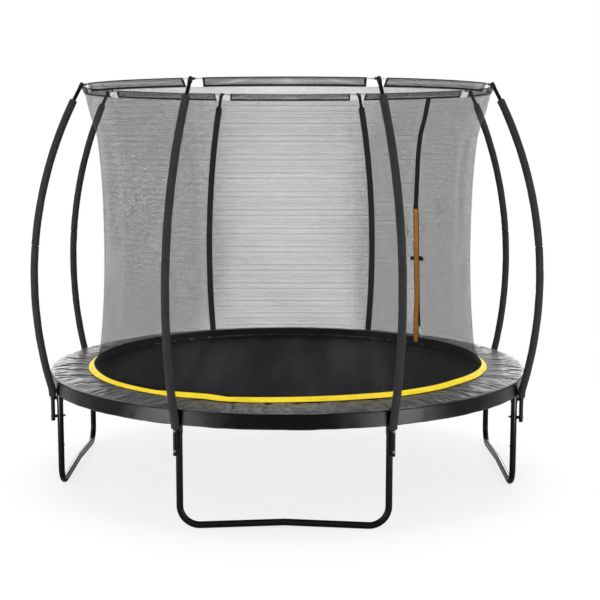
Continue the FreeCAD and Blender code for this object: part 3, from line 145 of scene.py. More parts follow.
class PadSizes(bpy.types.PropertyGroup):
    """Safety pad, skirt and edge band"""

    inner: length("Inner radius", "Inner edge of the pad", 1.272)
    outer: length("Outer radius", "Outer edge of the pad", 1.5265)
    base: length("Base height", "Underside of the pad", 0.6644)
    side: length("Side", "Thickness of the pad at its edges", 0.014)
    crown: length("Crown", "Rise of the pad's middle above its edges", 0.008)
    fold: length("Fold depth", "Depth of the folds in the cover", 0.0042)
    stitch: length("Stitch pitch", "Distance between two stitches", 0.015)
    skirt_foot: length("Skirt foot", "Lower edge of the skirt", 0.5875)
    skirt_wave: length("Skirt wave", "How far the skirt swings out between the poles", 0.0032)
    band_outer: length("Band outer radius", "Outer edge of the coloured band", 1.292)
    band_inner: length("Band inner radius", "Inner edge of the coloured band", 1.256)
    band_low: length("Band height", "Height of the band's outer edge", 0.6818)
    band_high: length("Band top", "Height of the band's inner edge", 0.7068)


class MatSizes(bpy.types.PropertyGroup):
    """Jumping mat, its loops and the springs"""

    radius: length("Radius", "Edge of the mat", 1.325)
    height: length("Height", "Middle of the mat's cloth above the ground", 0.643)
    thickness: length("Thickness", "Thickness of the mat's cloth", 0.002)
    border: length("Border", "Width of the webbing sewn round the mat's edge", 0.04)
    loop_width: length("Loop width", "Width of the webbing loops", 0.024)
    ring_bar: length("Ring bar radius", "Distance of the rings' bars from the middle", 1.3353)
    ring_wire: length("Ring wire", "Wire of the rings", 0.0042)
    ring_point: length("Ring point", "Distance of the rings' points from the middle", 1.3651)
    spring_wire: length("Spring wire", "Wire of the springs", 0.0032)
    spring_coil: length("Spring coil", "Outside diameter of the springs", 0.017)
    spring_body: length("Spring body", "Length of the springs' coils", 0.088)
    spring_end: length("Spring end", "Reach of the springs' outer hooks", 1.491)
    turns: IntProperty(name="Turns", description="Turns of a spring", default=24, min=3)


class DoorSizes(bpy.types.PropertyGroup):
    """Zip, cover and buckle straps of the door"""

    foot: length("Zip foot", "Lower end of the zip", 0.8)
    head: length("Zip head", "Upper end of the zip", 1.62)
    tape: length("Tape width", "Zip tape on each side of the chain", 0.014)
    chain: length("Chain width", "Width of the zip's chain", 0.006)
    flap: length("Cover width", "Width of the cover behind the zip", 0.050)
    flap_foot: length("Cover foot", "Lower end of the cover", 0.690)
    flap_hang: length("Cover hang", "Height below which the cover hangs straight down", 1.05)
    flap_head: length("Cover head", "Upper end of the cover", 1.642)
    seam: length("Seam width", "Width of the seam strip above the zip", 0.042)
    tooth: length("Tooth pitch", "Distance between two teeth of one row", 0.0036)
    buckle: length("Buckle height", "Height of the buckle on the zip's line", 1.29)
    strap: length("Strap width", "Width of the buckle's webbing", 0.025)


class Finishes(bpy.types.PropertyGroup):
    """Colours of the trampoline"""

    steel: paint("Frame paint", "Gloss paint of the rails and legs", tone(10, 10, 11))
    pole: paint("Pole paint", "Satin paint of the poles", tone(12, 12, 13))
    plastic: paint("Plastic", "Caps, spacers, plugs and buckle", tone(16, 16, 18))
    zinc: paint("Zinc", "Springs, rings, bolts and screws", tone(118, 120, 124))
    slider: paint("Slider metal", "Slider and its pull tab", tone(150, 150, 152))
    rod: paint("Rod", "Fibreglass rods of the top ring", tone(190, 191, 188))
    foam: paint("Foam cover", "Cloth cover of the foam sleeves", tone(50, 50, 52))
    pad: paint("Pad cover", "Coated cover of the safety pad", tone(36, 36, 39))
    skirt: paint("Skirt", "Coated cloth of the skirt", tone(4, 4, 5))
    stitch: paint("Stitches", "Sewing thread of the pad and skirt", tone(226, 226, 222))
    mat: paint("Mat", "Woven cloth of the jumping mat", tone(17, 17, 19))
    net: paint("Net", "Threads of the enclosure net", tone(16, 16, 18))
    band: paint("Edge band", "Band round the pad's inner edge", tone(250, 220, 40))
    flap: paint("Door cover", "Cover behind the zip", tone(255, 166, 34))


class StudioSizes(bpy.types.PropertyGroup):
    """Camera and lights"""

    distance: length("Camera distance", "Distance from the camera to the middle", 7.96)
    height: length("Camera height", "Height of the camera", 2.13)
    pitch: FloatProperty(name="Pitch", description="How far the camera looks down",
                         default=np.radians(7.44), subtype="ANGLE")
    turn: FloatProperty(name="Turn", description="How far the camera turns to the left",
                        default=0.0142, subtype="ANGLE")
    lens: FloatProperty(name="Lens", description="Focal length in millimetres", default=73.8)
    shift: FloatProperty(name="Shift", description="Sideways shift of the lens",
                         default=0.0203)
    surround: FloatProperty(name="Surround", description="Light from the room", default=0.55)
    lamps: FloatProperty(name="Lamps", description="Strength of the soft lamps", default=1.0)


GROUPS = {
    "trampoline_poles": PoleSizes,
    "trampoline_net": NetSizes,
    "trampoline_pad": PadSizes,
    "trampoline_mat": MatSizes,
    "trampoline_door": DoorSizes,
    "trampoline_finishes": Finishes,
    "trampoline_studio": StudioSizes,
}


# Shader nodes
def socket_label(name):
    """Label of a shader's socket from a name such as base_color."""
    return name.replace("_", " ").title().replace("Ior", "IOR")


class Socket:
    """Output of a shader node; arithmetic on it adds Math nodes."""

    def __init__(self, shader, output):
        self.shader, self.output = shader, output

    def maths(self, operation, *values):
        """Result of a Math node."""
        return self.shader.node("Math", {"operation": operation}, dict(enumerate(values)))

    def __add__(self, other):
        return self.maths("ADD", self, other)

    def __radd__(self, other):
        return self.maths("ADD", other, self)

    def __sub__(self, other):
        return self.maths("SUBTRACT", self, other)

    def __rsub__(self, other):
        return self.maths("SUBTRACT", other, self)

    def __mul__(self, other):
        return self.maths("MULTIPLY", self, other)

    def __rmul__(self, other):
        return self.maths("MULTIPLY", other, self)

    def __truediv__(self, other):
        return self.maths("DIVIDE", self, other)

    def __rtruediv__(self, other):
        return self.maths("DIVIDE", other, self)

    def __lt__(self, other):
        return self.maths("LESS_THAN", self, other)

    def __gt__(self, other):
        return self.maths("GREATER_THAN", self, other)

    def __abs__(self):
        return self.maths("ABSOLUTE", self)


class Nodes:
    """Node tree that is put together node by node."""

    def __init__(self, tree):
        self.tree = tree
        self.tree.nodes.clear()

    def node(self, kind, settings=None, values=None, output=0):
        """Adds a node: its settings first, then the values or links of its sockets."""
        made = self.tree.nodes.new("ShaderNode" + kind)
        for label, setting in (settings or {}).items():
            setattr(made, label, setting)
        for label, content in (values or {}).items():
            self.connect(made.inputs[label], content)
        return Socket(self, made.outputs[output]) if made.outputs else made

    def connect(self, socket, content):
        """Links a socket to another's output, or sets its value."""
        if isinstance(content, Socket):
            self.tree.links.new(content.output, socket)
        else:
            socket.default_value = content


class Shader(Nodes):
    """Material with one surface shader."""

    def __init__(self, name, colour, roughness, **constants):
        self.material = bpy.data.materials.new(f"{name}_finish")
        self.material.use_nodes = True
        super().__init__(self.material.node_tree)
        self.surface = self.node("BsdfPrincipled", {}, {
            "Base Color": (*colour, 1.0), "Roughness": roughness,
            **{socket_label(label): content for label, content in constants.items()},
        })
        self.end = self.node("OutputMaterial", {}, {"Surface": self.surface})

    def feed(self, **values):
        """Connects sockets of the surface shader."""
        for label, content in values.items():
            self.connect(self.surface.output.node.inputs[socket_label(label)], content)

    def blend(self, share, first, second):
        """Colour between two others."""
        colours = [content if isinstance(content, Socket) else (*content, 1.0)
                   for content in (first, second)]
        return self.node("Mix", {"data_type": "RGBA"},
                         {0: share, 6: colours[0], 7: colours[1]}, output=2)

    def place(self):
        """Place on the object, in metres."""
        return self.node("TexCoord", output="Object")

    def flat(self):
        """Place on the flat cloth in metres: across and along."""
        spot = self.node("UVMap", {"uv_map": "cloth"})
        parts = self.node("SeparateXYZ", values={0: spot}).output.node
        return Socket(self, parts.outputs[0]), Socket(self, parts.outputs[1])

    def noise(self, scale, detail=2.0, at=None, roughness=0.5):
        """Cloudy value around a half, its scale in waves to the metre."""
        return self.node("TexNoise", values={
            "Vector": at or self.place(), "Scale": scale, "Detail": detail,
            "Roughness": roughness})

    def stretch(self, vector, scale):
        """Place scaled by a factor along each axis."""
        return self.node("VectorMath", {"operation": "MULTIPLY"}, {0: vector, 1: scale})

    def between(self, value, low, high):
        """Value from 0 at low to 1 at high, clamped."""
        return self.node("MapRange", {"clamp": True}, {
            "Value": value, "From Min": low, "From Max": high})

    def wave(self, value, pitch):
        """Smooth wave from -1 to 1 that repeats at a pitch."""
        return self.node("Math", {"operation": "SINE"}, {0: value * (2 * np.pi / pitch)})

    def near_line(self, value, pitch, width):
        """1 within lines of a width that repeat at a pitch, else 0."""
        away = self.node("Math", {"operation": "PINGPONG"}, {0: value, 1: pitch / 2})
        return away < width / 2

    def threads(self, value, pitch, width, stray=0.3):
        """1 on threads of a width that lie about a pitch apart, none quite in line, else 0."""
        count = value / pitch
        first = self.node("Math", {"operation": "FLOOR"}, {0: count})
        chance = self.node("TexWhiteNoise", {"noise_dimensions": "1D"}, {"W": first})
        return abs(count - first - 0.5 - (chance - 0.5) * stray) < width / pitch / 2

    def weave(self, pitch):
        """Height of a plain weave, from the flat cloth's coordinates."""
        across, along = self.flat()
        return self.wave(across, pitch) * self.wave(along, pitch)

    def to_edge(self, value, size):
        """Distance from the nearer edge of a cloth of a size."""
        return self.node("Math", {"operation": "MINIMUM"}, {0: value, 1: size - value})

    def bump(self, height, distance, strength):
        """Relief of a depth in metres on the surface."""
        self.feed(normal=self.node("Bump", values={
            "Height": height, "Distance": distance, "Strength": strength}))


def shade(colour, share, lift=0.0):
    """Darker or lighter form of a colour."""
    return tuple(part * share + lift for part in colour)


def gloss_paint(name, colour, roughness, gloss):
    """Baked gloss paint on tube, with faint orange peel, dust and rubbed spots."""
    shader = Shader(name, colour, roughness, specular_ior_level=gloss)
    dust = shader.noise(9.0, 4.0)
    rubbed = shader.between(shader.noise(60.0, 3.0), 0.62, 0.8)
    worn = rubbed * 0.4 + dust * 0.12
    shader.feed(base_color=shader.blend(worn, colour, shade(colour, 2.2, 0.006)),
                roughness=roughness + dust * 0.06 + rubbed * 0.12)
    shader.bump(shader.noise(420.0, 1.0), 0.00008, 0.15)
    return shader.material


def moulded_plastic(name, colour):
    """Moulded plastic with a fine grain and a cloudy surface."""
    shader = Shader(name, colour, 0.42, specular_ior_level=0.1)
    cloud = shader.noise(30.0, 3.0)
    shader.feed(base_color=shader.blend(cloud * 0.5, colour, shade(colour, 1.8, 0.006)),
                roughness=0.34 + cloud * 0.2)
    shader.bump(shader.noise(900.0, 2.0), 0.0002, 0.4)
    return shader.material


def plated_metal(name, colour, roughness):
    """Zinc or nickel plate, with drawing marks and dull patches."""
    shader = Shader(name, colour, roughness, metallic=1.0)
    patches = shader.noise(45.0, 4.0)
    dull = shader.between(patches, 0.35, 0.75)
    shader.feed(base_color=shader.blend(dull, colour, shade(colour, 0.55)),
                roughness=roughness + patches * 0.2)
    marks = shader.noise(1.0, 1.0, at=shader.stretch(shader.place(), (90.0, 90.0, 1400.0)))
    shader.bump(marks, 0.0001, 0.4)
    return shader.material


def rod_fibre(colours):
    """Drawn glass fibre with its grain along the rod."""
    shader = Shader("rod_fibre", colours.rod, 0.35)
    fibres = shader.noise(1.0, 3.0, at=shader.stretch(shader.place(), (40.0, 40.0, 900.0)))
    shader.feed(base_color=shader.blend(fibres, colours.rod, shade(colours.rod, 0.6)),
                roughness=0.28 + fibres * 0.2)
    shader.bump(fibres, 0.0001, 0.3)
    return shader.material


def foam_cover(colours):
    """Close woven cover with a dull sheen and faded clouds."""
    shader = Shader("foam_cover", colours.foam, 0.62, specular_ior_level=0.05)
    cloud = shader.noise(14.0, 4.0)
    weave = shader.weave(0.0016)
    darker = shade(colours.foam, 0.55)
    base = shader.blend(cloud, darker, shade(colours.foam, 1.35))
    shader.feed(base_color=shader.blend(shader.between(weave, -1.0, 1.0) * 0.35, base, darker),
                roughness=0.52 + cloud * 0.2)
    shader.bump(weave + shader.noise(160.0, 3.0) * 3.0, 0.0004, 0.5)
    return shader.material


def pad_cover(colours, pads):
    """Coated cloth of the pad: glossy, with a fine grain, fold marks and painted shade of the seam
    at each end.
    """
    seam_shade_width = 0.006
    shader = Shader("pad_cover", colours.pad, 0.3, specular_ior_level=0.12)
    cloud = shader.noise(5.0, 5.0)
    marks = shader.noise(22.0, 5.0, roughness=0.62)
    # Painted shade: a dark strip at each end of a section, where the seam between two sections lies
    # in shade.
    seam_shade = abs(shader.flat()[0]) > pad_reach(pads) - seam_shade_width
    base = shader.blend(cloud, shade(colours.pad, 0.6), shade(colours.pad, 1.3))
    shader.feed(base_color=shader.blend(seam_shade, base, colours.net),
                roughness=0.22 + marks * 0.2 + seam_shade * 0.3)
    shader.bump(marks * 6.0 + shader.noise(700.0, 2.0), 0.0009, 0.55)
    return shader.material


def skirt_cloth(colours):
    """Thin coated cloth of the skirt, glossy on its folds."""
    shader = Shader("skirt_cloth", colours.skirt, 0.2, specular_ior_level=0.075)
    marks = shader.noise(18.0, 5.0, roughness=0.6)
    shader.feed(base_color=shader.blend(marks, colours.skirt, shade(colours.skirt, 1.9)),
                roughness=0.14 + marks * 0.1)
    shader.bump(marks * 4.0 + shader.weave(0.0018) * 0.3, 0.0005, 0.35)
    return shader.material


def webbing(name, colour):
    """Ribbed polyester webbing, with painted shade in the valleys between its ribs."""
    shader = Shader(name, colour, 0.68, specular_ior_level=0.06)
    across, along = shader.flat()
    ribs = shader.wave(across + along * 0.5, 0.0022)
    raised = shader.between(ribs, -1.0, 1.0)
    # Painted shade: the colour darkens to half in the valleys between the ribs.
    shader.feed(base_color=shader.blend(raised, shade(colour, 0.5), colour),
                roughness=0.62 + shader.noise(40.0) * 0.15)
    shader.bump(ribs, 0.0005, 0.7)
    return shader.material


def sewing_thread(name, colour):
    """Twisted thread, much darker in long patches."""
    shader = Shader(name, colour, 0.7, sheen_weight=0.2)
    twist = shader.noise(900.0, 2.0)
    # Long patches where the thread turns much darker.
    dark_patches = shader.between(shader.noise(3.5, 3.0), 0.42, 0.58)
    twisted_colour = shader.blend(twist, colour, shade(colour, 0.7))
    shader.feed(base_color=shader.blend(dark_patches, twisted_colour, shade(colour, 0.1)))
    shader.bump(twist, 0.0003, 0.5)
    return shader.material


def mat_cloth(colours):
    """Close woven jumping mat with faint folds from its packing, painted light and shade along the
    folds, and a slight shine.
    """
    shader = Shader("mat_cloth", colours.mat, 0.7, specular_ior_level=0.02)
    weave = shader.weave(0.0028)
    folds = shader.noise(1.0, 3.0, at=shader.stretch(shader.place(), (5.5, 0.5, 1.0)))
    darker = shade(colours.mat, 0.4)
    # Painted light and shade: the colour runs from darker to much lighter across the folds, as
    # light would fall on them; their relief is in the bump.
    base = shader.blend(shader.between(folds, 0.4, 0.66), darker, shade(colours.mat, 3.6))
    shader.feed(base_color=shader.blend(shader.between(weave, -1.0, 1.0) * 0.4, base, darker),
                roughness=0.64 + shader.noise(3.0, 4.0) * 0.16)
    shader.bump(weave + folds * 14.0, 0.0007, 0.5)
    return shader.material


def net_cloth(colours, sizes):
    """Knitted net: open between fine threads, with a heavier thread at each course."""
    shader = Shader("net_cloth", colours.net, 0.7, specular_ior_level=0.1)
    across, along = shader.flat()
    threads = (shader.threads(across, sizes.pitch, sizes.thread)
               + shader.threads(along, sizes.pitch, sizes.weft)
               + shader.near_line(along, sizes.course, sizes.heavy))
    knots = shader.noise(320.0, 1.0)
    shader.feed(base_color=shader.blend(knots * 0.5, colours.net, shade(colours.net, 2.5, 0.01)),
                alpha=threads > 0.5)
    shader.bump(knots, 0.0003, 0.4)
    return shader.material


def hem_cloth(colours):
    """Dull woven cloth of the net's hem, the zip's tapes and the seam."""
    shader = Shader("hem_cloth", colours.net, 0.65, specular_ior_level=0.04)
    marks = shader.noise(25.0, 4.0)
    lighter = shade(colours.net, 2.4, 0.004)
    shader.feed(base_color=shader.blend(marks * 0.7, colours.net, lighter),
                roughness=0.58 + marks * 0.15)
    shader.bump(shader.weave(0.0022) + marks * 4.0, 0.0005, 0.5)
    return shader.material


def sleeve_mesh(colours, deep, wide):
    """Fine dark mesh between close-woven borders, folded over a rod; the dark band along the fold
    is partly painted shade of the rod.
    """
    foot_border, end_border, fold_border_and_rod_shade = 0.0115, 0.0085, 0.0060
    pitch, thread = 0.0024, 0.00038
    shader = Shader("sleeve_mesh", colours.net, 0.7, specular_ior_level=0.05)
    across, along = shader.flat()
    # The opaque dark band along the fold is partly a close-woven border and partly painted shade of
    # the rod inside it.
    border = ((shader.to_edge(along, deep) < foot_border)
              + (shader.to_edge(across, wide) < end_border)
              + (abs(along - deep / 2) < fold_border_and_rod_shade))
    mesh = shader.near_line(across, pitch, thread) + shader.near_line(along, pitch, thread)
    tangle = shader.noise(300.0, 2.0)
    lighter = shade(colours.net, 2.2, 0.004)
    shader.feed(base_color=shader.blend(tangle * 0.6, colours.net, lighter),
                alpha=(border + mesh) > 0.5)
    shader.bump(tangle, 0.0004, 0.5)
    return shader.material


def edged_cloth(name, colour, edge, wide, rim):
    """Coloured cloth strip with a thin dark edge on both sides and darker patches of painted shade.
    """
    shader = Shader(name, colour, 0.5, specular_ior_level=0.15)
    wander = shader.noise(18.0, 2.0) * 0.0012
    to_edge = shader.to_edge(shader.flat()[0], wide) + wander
    edging = shader.between(to_edge, rim + 0.0002, rim + 0.0012)
    marks = shader.noise(16.0, 4.0)
    # Painted shade: darker brownish patches over the cloth, from the same noise as its marks.
    body = shader.blend(shader.between(marks, 0.4, 0.8) * 0.6, colour, shade(colour, 0.72))
    shader.feed(base_color=shader.blend(edging, edge, body), roughness=0.45 + marks * 0.15)
    shader.bump(shader.weave(0.0018) + marks * 5.0, 0.0006, 0.45)
    return shader.material


# Width of the band's cloth, and of the dark edging on the band and on the door's cover
BAND_WIDTH = 0.0445
BAND_EDGING = 0.0024
FLAP_EDGING = 0.0065

FINISH_MAKERS = {
    "frame_paint": lambda name, colours, scene: gloss_paint(
        name, colours.steel, roughness=0.13, gloss=0.1),
    "pole_paint": lambda name, colours, scene: gloss_paint(
        name, colours.pole, roughness=0.24, gloss=0.05),
    "plastic": lambda name, colours, scene: moulded_plastic(name, colours.plastic),
    "zinc": lambda name, colours, scene: plated_metal(name, colours.zinc, roughness=0.3),
    "dull_zinc": lambda name, colours, scene: plated_metal(
        name, shade(colours.zinc, 0.4), roughness=0.5),
    "slider_metal": lambda name, colours, scene: plated_metal(
        name, colours.slider, roughness=0.25),
    "rod_fibre": lambda name, colours, scene: rod_fibre(colours),
    "foam_cover": lambda name, colours, scene: foam_cover(colours),
    "pad_cover": lambda name, colours, scene: pad_cover(colours, scene.trampoline_pad),
    "skirt_cloth": lambda name, colours, scene: skirt_cloth(colours),
    "tie_webbing": lambda name, colours, scene: webbing(name, colours.skirt),
    "loop_webbing": lambda name, colours, scene: webbing(name, colours.mat),
    "thread": lambda name, colours, scene: sewing_thread(name, colours.stitch),
    "hem_thread": lambda name, colours, scene: sewing_thread(name, shade(colours.stitch, 0.3)),
    "mat_cloth": lambda name, colours, scene: mat_cloth(colours),
    "net_cloth": lambda name, colours, scene: net_cloth(colours, scene.trampoline_net),
    "hem_cloth": lambda name, colours, scene: hem_cloth(colours),
    "band_cloth": lambda name, colours, scene: edged_cloth(
        name, colours.band, colours.net, BAND_WIDTH, BAND_EDGING),
    "flap_cloth": lambda name, colours, scene: edged_cloth(
        name, colours.flap, colours.net, scene.trampoline_door.flap, FLAP_EDGING),
}


def finish(scene, name):
    """The named finish, made when it is first asked for."""
    made = bpy.data.materials.get(f"{name}_finish")
    return made or FINISH_MAKERS[name](name, scene.trampoline_finishes, scene)


# Shapes
def around(radius, angle, height):
    """Points at a distance from the middle, in a direction and at a height."""
    radius, angle, height = np.broadcast_arrays(radius, angle, height)
    return np.stack([radius * np.cos(angle), radius * np.sin(angle), height], axis=-1)


def turned(points, angle):
    """Points turned about the vertical axis."""
    cosine, sine = np.cos(angle), np.sin(angle)
    return points @ np.array([(cosine, sine, 0), (-sine, cosine, 0), (0, 0, 1)])


def grid_faces(rows, columns, wrap_rows=False, wrap_columns=False):
    """Faces of a grid, and the grid place of each face corner before wrapping."""
    row, column = np.meshgrid(np.arange(rows if wrap_rows else rows - 1),
                              np.arange(columns if wrap_columns else columns - 1),
                              indexing="ij")
    corners = [(row + down, column + on) for down, on in ((0, 0), (0, 1), (1, 1), (1, 0))]
    faces = np.stack([(down % rows) * columns + on % columns for down, on in corners], axis=-1)
    places = np.stack([np.stack(corner, axis=-1) for corner in corners], axis=-2)
    return faces.reshape(-1, 4), places.reshape(-1, 4, 2)


def piece(name, points, faces, flat=None):
    """Smooth mesh object; flat gives each face corner's place on the flat cloth."""
    faces = faces.tolist() if isinstance(faces, np.ndarray) else faces
    mesh = bpy.data.meshes.new(name)
    mesh.from_pydata(np.asarray(points).reshape(-1, 3).tolist(), [], faces)
    if flat is not None:
        layer = mesh.uv_layers.new(name="cloth")
        layer.data.foreach_set("uv", np.asarray(flat, np.float32).ravel())
    mesh.polygons.foreach_set("use_smooth", [True] * len(mesh.polygons))
    mesh.update()
    made = bpy.data.objects.new(name, mesh)
    bpy.context.collection.objects.link(made)
    return made


def steps_along(points, wrap):
    """Distance along a row of points, one more than there are when the row closes."""
    ends = np.concatenate([points, points[:1]]) if wrap else points
    runs = np.linalg.norm(np.diff(ends, axis=0), axis=1)
    return np.concatenate([[0.0], np.cumsum(runs)])


def cloth(name, grid, thickness, closed=False):
    """Sheet with two faces and rims through a grid of points, rows by columns."""
    rows, columns = grid.shape[:2]
    if closed:
        across = np.roll(grid, -1, axis=1) - np.roll(grid, 1, axis=1)
    else:
        across = np.gradient(grid, axis=1)
    normal = np.cross(across, np.gradient(grid, axis=0))
    normal /= np.maximum(np.linalg.norm(normal, axis=-1, keepdims=True), 1e-12)
    widths = steps_along(grid[rows // 2], closed)
    lengths = steps_along(grid[:, columns // 2], False)
    faces, places = grid_faces(rows, columns, wrap_columns=closed)
    flat = np.stack([widths[places[..., 1]], lengths[places[..., 0]]], axis=-1)
    count = rows * columns
    all_faces = [faces, faces[:, ::-1] + count]
    all_flat = [flat, flat[:, ::-1]]
    last = columns if closed else columns - 1
    rims = [[(0, column) for column in range(last, -1, -1)],
            [(rows - 1, column) for column in range(last + 1)]]
    if not closed:
        rims += [[(row, 0) for row in range(rows)],
                 [(row, last) for row in range(rows - 1, -1, -1)]]
    for rim in rims:
        for here, there in zip(rim, rim[1:]):
            near, far = [row * columns + column % columns for row, column in (here, there)]
            all_faces.append([[near, far, far + count, near + count]])
            spot, next_spot = [(widths[column], lengths[row]) for row, column in (here, there)]
            all_flat.append([[spot, next_spot, next_spot, spot]])
    points = np.concatenate([(grid + normal * thickness / 2).reshape(-1, 3),
                             (grid - normal * thickness / 2).reshape(-1, 3)])
    return piece(name, points, np.concatenate(all_faces), np.concatenate(all_flat))


def strap(name, line, side, width, thickness):
    """Flat webbing along a line of points, its width in the direction of side."""
    shares = np.linspace(-0.5, 0.5, 5)
    grid = np.asarray(line)[:, None] + np.asarray(side) * (shares * width)[None, :, None]
    return cloth(name, grid, thickness)


def wire(name, line, radius):
    """Round wire along a line of points, with closed ends."""
    sides = 6
    tangent = np.gradient(line, axis=0)
    tangent /= np.linalg.norm(tangent, axis=1, keepdims=True)
    first = np.cross(tangent, (0.0, 0.0, 1.0))
    weak = np.linalg.norm(first, axis=1) < 0.2
    first[weak] = np.cross(tangent[weak], (1.0, 0.0, 0.0))
    first /= np.linalg.norm(first, axis=1, keepdims=True)
    second = np.cross(tangent, first)
    turn = np.linspace(0, 2 * np.pi, sides, endpoint=False)[None, :, None]
    grid = line[:, None] + radius * (first[:, None] * np.cos(turn)
                                     + second[:, None] * np.sin(turn))
    faces, _ = grid_faces(len(line), sides, wrap_columns=True)
    count = len(line) * sides
    ends = [list(range(sides))[::-1], list(range(count - sides, count))]
    return piece(name, grid, faces.tolist() + ends)


def creases(along, across, seed, count, reach, width, slant):
    """Field of soft creases across a surface, each a short valley from 0 to 1 deep."""
    random = np.random.default_rng(seed)
    low, high = along.min(), along.max()
    side_low, side_high = across.min(), across.max()
    relief = np.zeros(np.broadcast(along, across).shape)
    for _ in range(count):
        spot = random.uniform(low, high)
        side = random.uniform(side_low, side_high)
        wide = random.uniform(*width)
        long = random.uniform(*reach)
        lean = random.uniform(-slant, slant)
        away = along - spot - lean * (across - side)
        relief += (random.uniform(0.35, 1.0) * np.exp(-(away / wide) ** 2)
                   * np.exp(-((across - side) / long) ** 2))
    return relief


def swell(along, across, seed, longest):
    """Gentle unevenness of about -1 to 1, from a few long waves."""
    random = np.random.default_rng(seed)
    relief = 0.0
    for number in range(6):
        wave = longest / (1 + number * 0.7)
        relief = relief + np.sin(2 * np.pi * along / wave + random.uniform(0, 6.3)
                                 + across * random.uniform(-2, 2)) / (1 + number)
    return relief / 2.2


def dress(made, scene, finish_name, body="frame"):
    """Gives a piece its finish and the body that it rides on."""
    made.data.materials.append(finish(scene, finish_name))
    if body:
        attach(made, body)


def refinish(scene, finish_name, *names):
    """New finish on parts that keep their own shape."""
    for name in names:
        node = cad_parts[name]
        for slot in node.material_slots:
            slot.material = finish(scene, finish_name)


class Step:
    """Shared settings of the operators."""

    bl_options = {"REGISTER", "UNDO"}


# Metal and plastic
class TRAMPOLINE_OT_steelwork(Step, bpy.types.Operator):
    """Paint the rails, sockets, legs and poles"""

    bl_idname = "trampoline.steelwork"
    bl_label = "Steelwork"

    def execute(self, context):
        scene = context.scene
        rails = [f"frame_rail_{number + 1}" for number in range(POSTS)]
        legs = [f"leg_base_{side}" for side in ("front", "right", "rear", "left")]
        refinish(scene, "frame_paint", "tee_sockets", "leg_extensions", *rails, *legs)
        poles = [f"pole_{part}_{number + 1}" for part in ("lower", "upper")
                 for number in range(POSTS)]
        refinish(scene, "pole_paint", *poles)
        return {"FINISHED"}


class TRAMPOLINE_OT_hardware(Step, bpy.types.Operator):
    """Finish the bolts, screws, caps, plugs, rods, rings, slider and buckle"""

    bl_idname = "trampoline.hardware"
    bl_label = "Hardware"

    def execute(self, context):
        scene = context.scene
        refinish(scene, "zinc", "pole_bolts", "pole_nuts", "leg_screws")
        refinish(scene, "dull_zinc", "mat_rings")
        refinish(scene, "plastic", "pole_caps", "pole_foot_plugs", "pole_spacers",
                 "buckle_plug", "buckle_socket")
        refinish(scene, "rod_fibre", "top_rods")
        refinish(scene, "slider_metal", "zip_slider", "zip_pull")
        return {"FINISHED"}


# Foam sleeves
def pole_line(sizes, height):
    """Distance of a pole's centre line from the middle and its slope, at heights."""
    centre = sizes.bow_reach - sizes.bow_radius
    bend = sizes.foot_bend
    bend_middle = sizes.foot_radius + bend
    start = sizes.bow_height - np.sqrt((sizes.bow_radius + bend) ** 2
                                       - (bend_middle - centre) ** 2)
    turn = np.arctan2(sizes.bow_height - start, bend_middle - centre)
    angle = np.arcsin(np.clip((height - start) / bend, 0, np.sin(turn)))
    rise = height - sizes.bow_height
    reach = np.sqrt(sizes.bow_radius ** 2 - rise ** 2)
    on_bow = height > start + bend * np.sin(turn)
    return (np.where(on_bow, centre + reach, bend_middle - bend * np.cos(angle)),
            np.where(on_bow, -rise / reach, np.tan(angle)))


# Bores of the lower and upper sleeves, and half the gap between them
LOWER_BORE = 0.0128
UPPER_BORE = 0.0113
SPLICE_GAP = 0.0007
# How far a sleeve's cover stands off its foam, how much that varies, and where its ends begin
FOAM_SLACK = 0.0008
FOAM_SWELL = 0.0006
FOAM_TIGHT = 0.02
# Columns and row pitch of a sleeve's surface, and the rounding of its ends: depth and inset
FOAM_COLUMNS = 30
FOAM_ROW = 0.0034
FOAM_LIP = [(0.0, 0.0045), (0.0008, 0.0022)]
FOAM_END = 0.004
# Height below which the sleeves lie against the skirt
SKIRT_TOP = 0.72


def foam_sleeve(name, sizes, low, high, bore, angle, seed):
    """Foam tube in a creased cover, with soft ends and its bore."""
    turn = np.linspace(0, 2 * np.pi, FOAM_COLUMNS, endpoint=False)[None, :]
    outside = sizes.foam_diameter / 2
    body = np.linspace(low + FOAM_END, high - FOAM_END, int((high - low) / FOAM_ROW))[:, None]
    folds = creases(body, turn, seed, count=70, reach=(0.7, 2.2), width=(0.0016, 0.005),
                    slant=0.006)
    folds += 0.5 * creases(body, turn + np.pi, seed + 50, count=12, reach=(0.25, 0.6),
                           width=(0.02, 0.07), slant=0.0)
    tight = np.minimum(1, np.minimum(body - low, high - body) / FOAM_TIGHT)
    radius = (outside + FOAM_SLACK - sizes.crease * np.minimum(folds, 1.8) * tight
              + FOAM_SWELL * swell(body, turn, seed, longest=0.2))
    mouth = [(0.0, bore)] + [(depth, outside - inset) for depth, inset in FOAM_LIP]
    foot = np.array([(low + depth, reach) for depth, reach in mouth])
    head = np.array([(high - depth, reach) for depth, reach in mouth[::-1]]
                    + [(height, bore) for height in np.linspace(high, low, 14)[1:-1]])
    heights = np.concatenate([foot[:, 0], body[:, 0], head[:, 0]])
    row = np.ones(FOAM_COLUMNS)
    spread = np.concatenate([foot[:, 1:] * row, radius, head[:, 1:] * row])
    reach, slope = pole_line(sizes, heights)
    lean = 1 / np.sqrt(1 + slope ** 2)
    out, up = lean[:, None], (-slope * lean)[:, None]
    grid = np.stack([reach[:, None] + spread * np.cos(turn) * out,
                     spread * np.sin(turn),
                     heights[:, None] + spread * np.cos(turn) * up], axis=-1)
    faces, places = grid_faces(*spread.shape, wrap_rows=True, wrap_columns=True)
    lengths = np.append(heights, heights[0])
    widths = np.append(turn[0], 2 * np.pi) * outside
    flat = np.stack([widths[places[..., 1]], lengths[places[..., 0]]], axis=-1)
    at_skirt = heights < SKIRT_TOP
    grid[at_skirt, :, 0] = np.maximum(grid[at_skirt, :, 0], sizes.skirt_face)
    return piece(name, turned(grid, angle), faces, flat)


